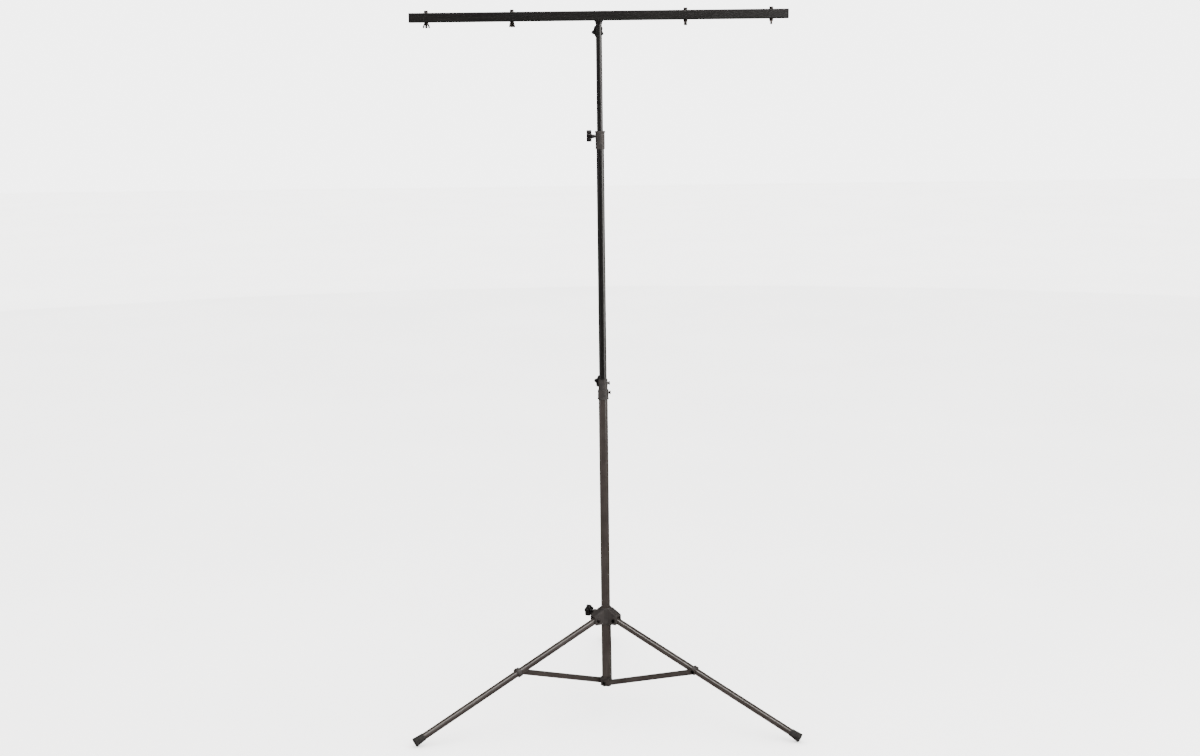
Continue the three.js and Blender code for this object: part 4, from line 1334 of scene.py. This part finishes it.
def hung(name, corners, faces, material):
    """A cloth or a card that only reflections see."""
    mesh = bpy.data.meshes.new(name)
    mesh.from_pydata(corners, [], faces)
    mesh.materials.append(material)
    made = bpy.data.objects.new(name, mesh)
    bpy.context.collection.objects.link(made)
    for ray in ("camera", "diffuse", "transmission", "volume_scatter", "shadow"):
        setattr(made, "visible_" + ray, False)


def facing(place, target):
    """A place whose -Z looks at a target."""
    aim = Vector(target) - Vector(place)
    return Matrix.Translation(place) @ aim.to_track_quat("-Z", "Y").to_matrix().to_4x4()


def glowing(name, strength):
    """An evenly lit card, which has no finish of its own to show."""
    material, _, shader, _ = start(name, Roughness=1.0)
    shader.inputs["Emission Color"].default_value = CARD_LIGHT
    shader.inputs["Emission Strength"].default_value = strength
    return material


# Grey cloth of the tent: matt, with wide faint clouds. It gives the tubes their dark middles.
tent_cloth = coat(
    "grey_tent_cloth", (CLOUDS, 2.0, 2.0, EVEN),
    [(0.3, colour("383736")), (0.7, colour("434241"))], (0.9, 1.0),
    (CLOUDS, 0.05, 2.0, EVEN, 0.05, 1 * MM), Specular_IOR_Level=0.0)
bm = bmesh.new()
bmesh.ops.create_icosphere(bm, subdivisions=4, radius=TENT_RADIUS)
hung("grey_tent", [vertex.co[:] for vertex in bm.verts],
     [[vertex.index for vertex in face.verts] for face in bm.faces], tent_cloth)
bm.free()

# The cards, each a width and height, a strength, a place and a target. The side card gives the
# tubes above the lower one a pale right side, the bar card lightens the bar's right end, and
# the high card gives each leg a pale stripe.
CARDS = (
    ("side_card", (3.4, 3.3), 8.0, (4.2, -1.6, 2.0), (0, POST.y, 2.0)),
    ("bar_card", (2.4, 2.0), 4.0, (2.5, -5.6, 3.3), (2.5, POST.y, 3.3)),
    ("high_card", (4.5, 0.8), 38.0, (0, -2.8, 4.4), (0, POST.y, 0.2)),
)
for name, (width, height), strength, place, target in CARDS:
    stand = facing(place, target)
    hung(name, [stand @ Vector((x * width / 2, y * height / 2, 0))
                for x, y in ((-1, -1), (1, -1), (1, 1), (-1, 1))], [(0, 1, 2, 3)],
         glowing(name, strength))


# Lamps, each a width and height, a power, a place and a target

LAMPS = (
    ("softbox_right", (1.1, 3.2), 55, (3.2, -2.0, 1.7), (0, POST.y, 1.2)),
    ("softbox_left", (0.5, 3.2), 20, (-3.2, -1.2, 1.7), (0, POST.y, 1.2)),
)
for name, (width, height), power, place, target in LAMPS:
    data = bpy.data.lights.new(name, "AREA")
    data.shape = "RECTANGLE"
    data.size = width
    data.size_y = height
    data.energy = power
    light = bpy.data.objects.new(name, data)
    light.matrix_world = facing(place, target)
    bpy.context.collection.objects.link(light)
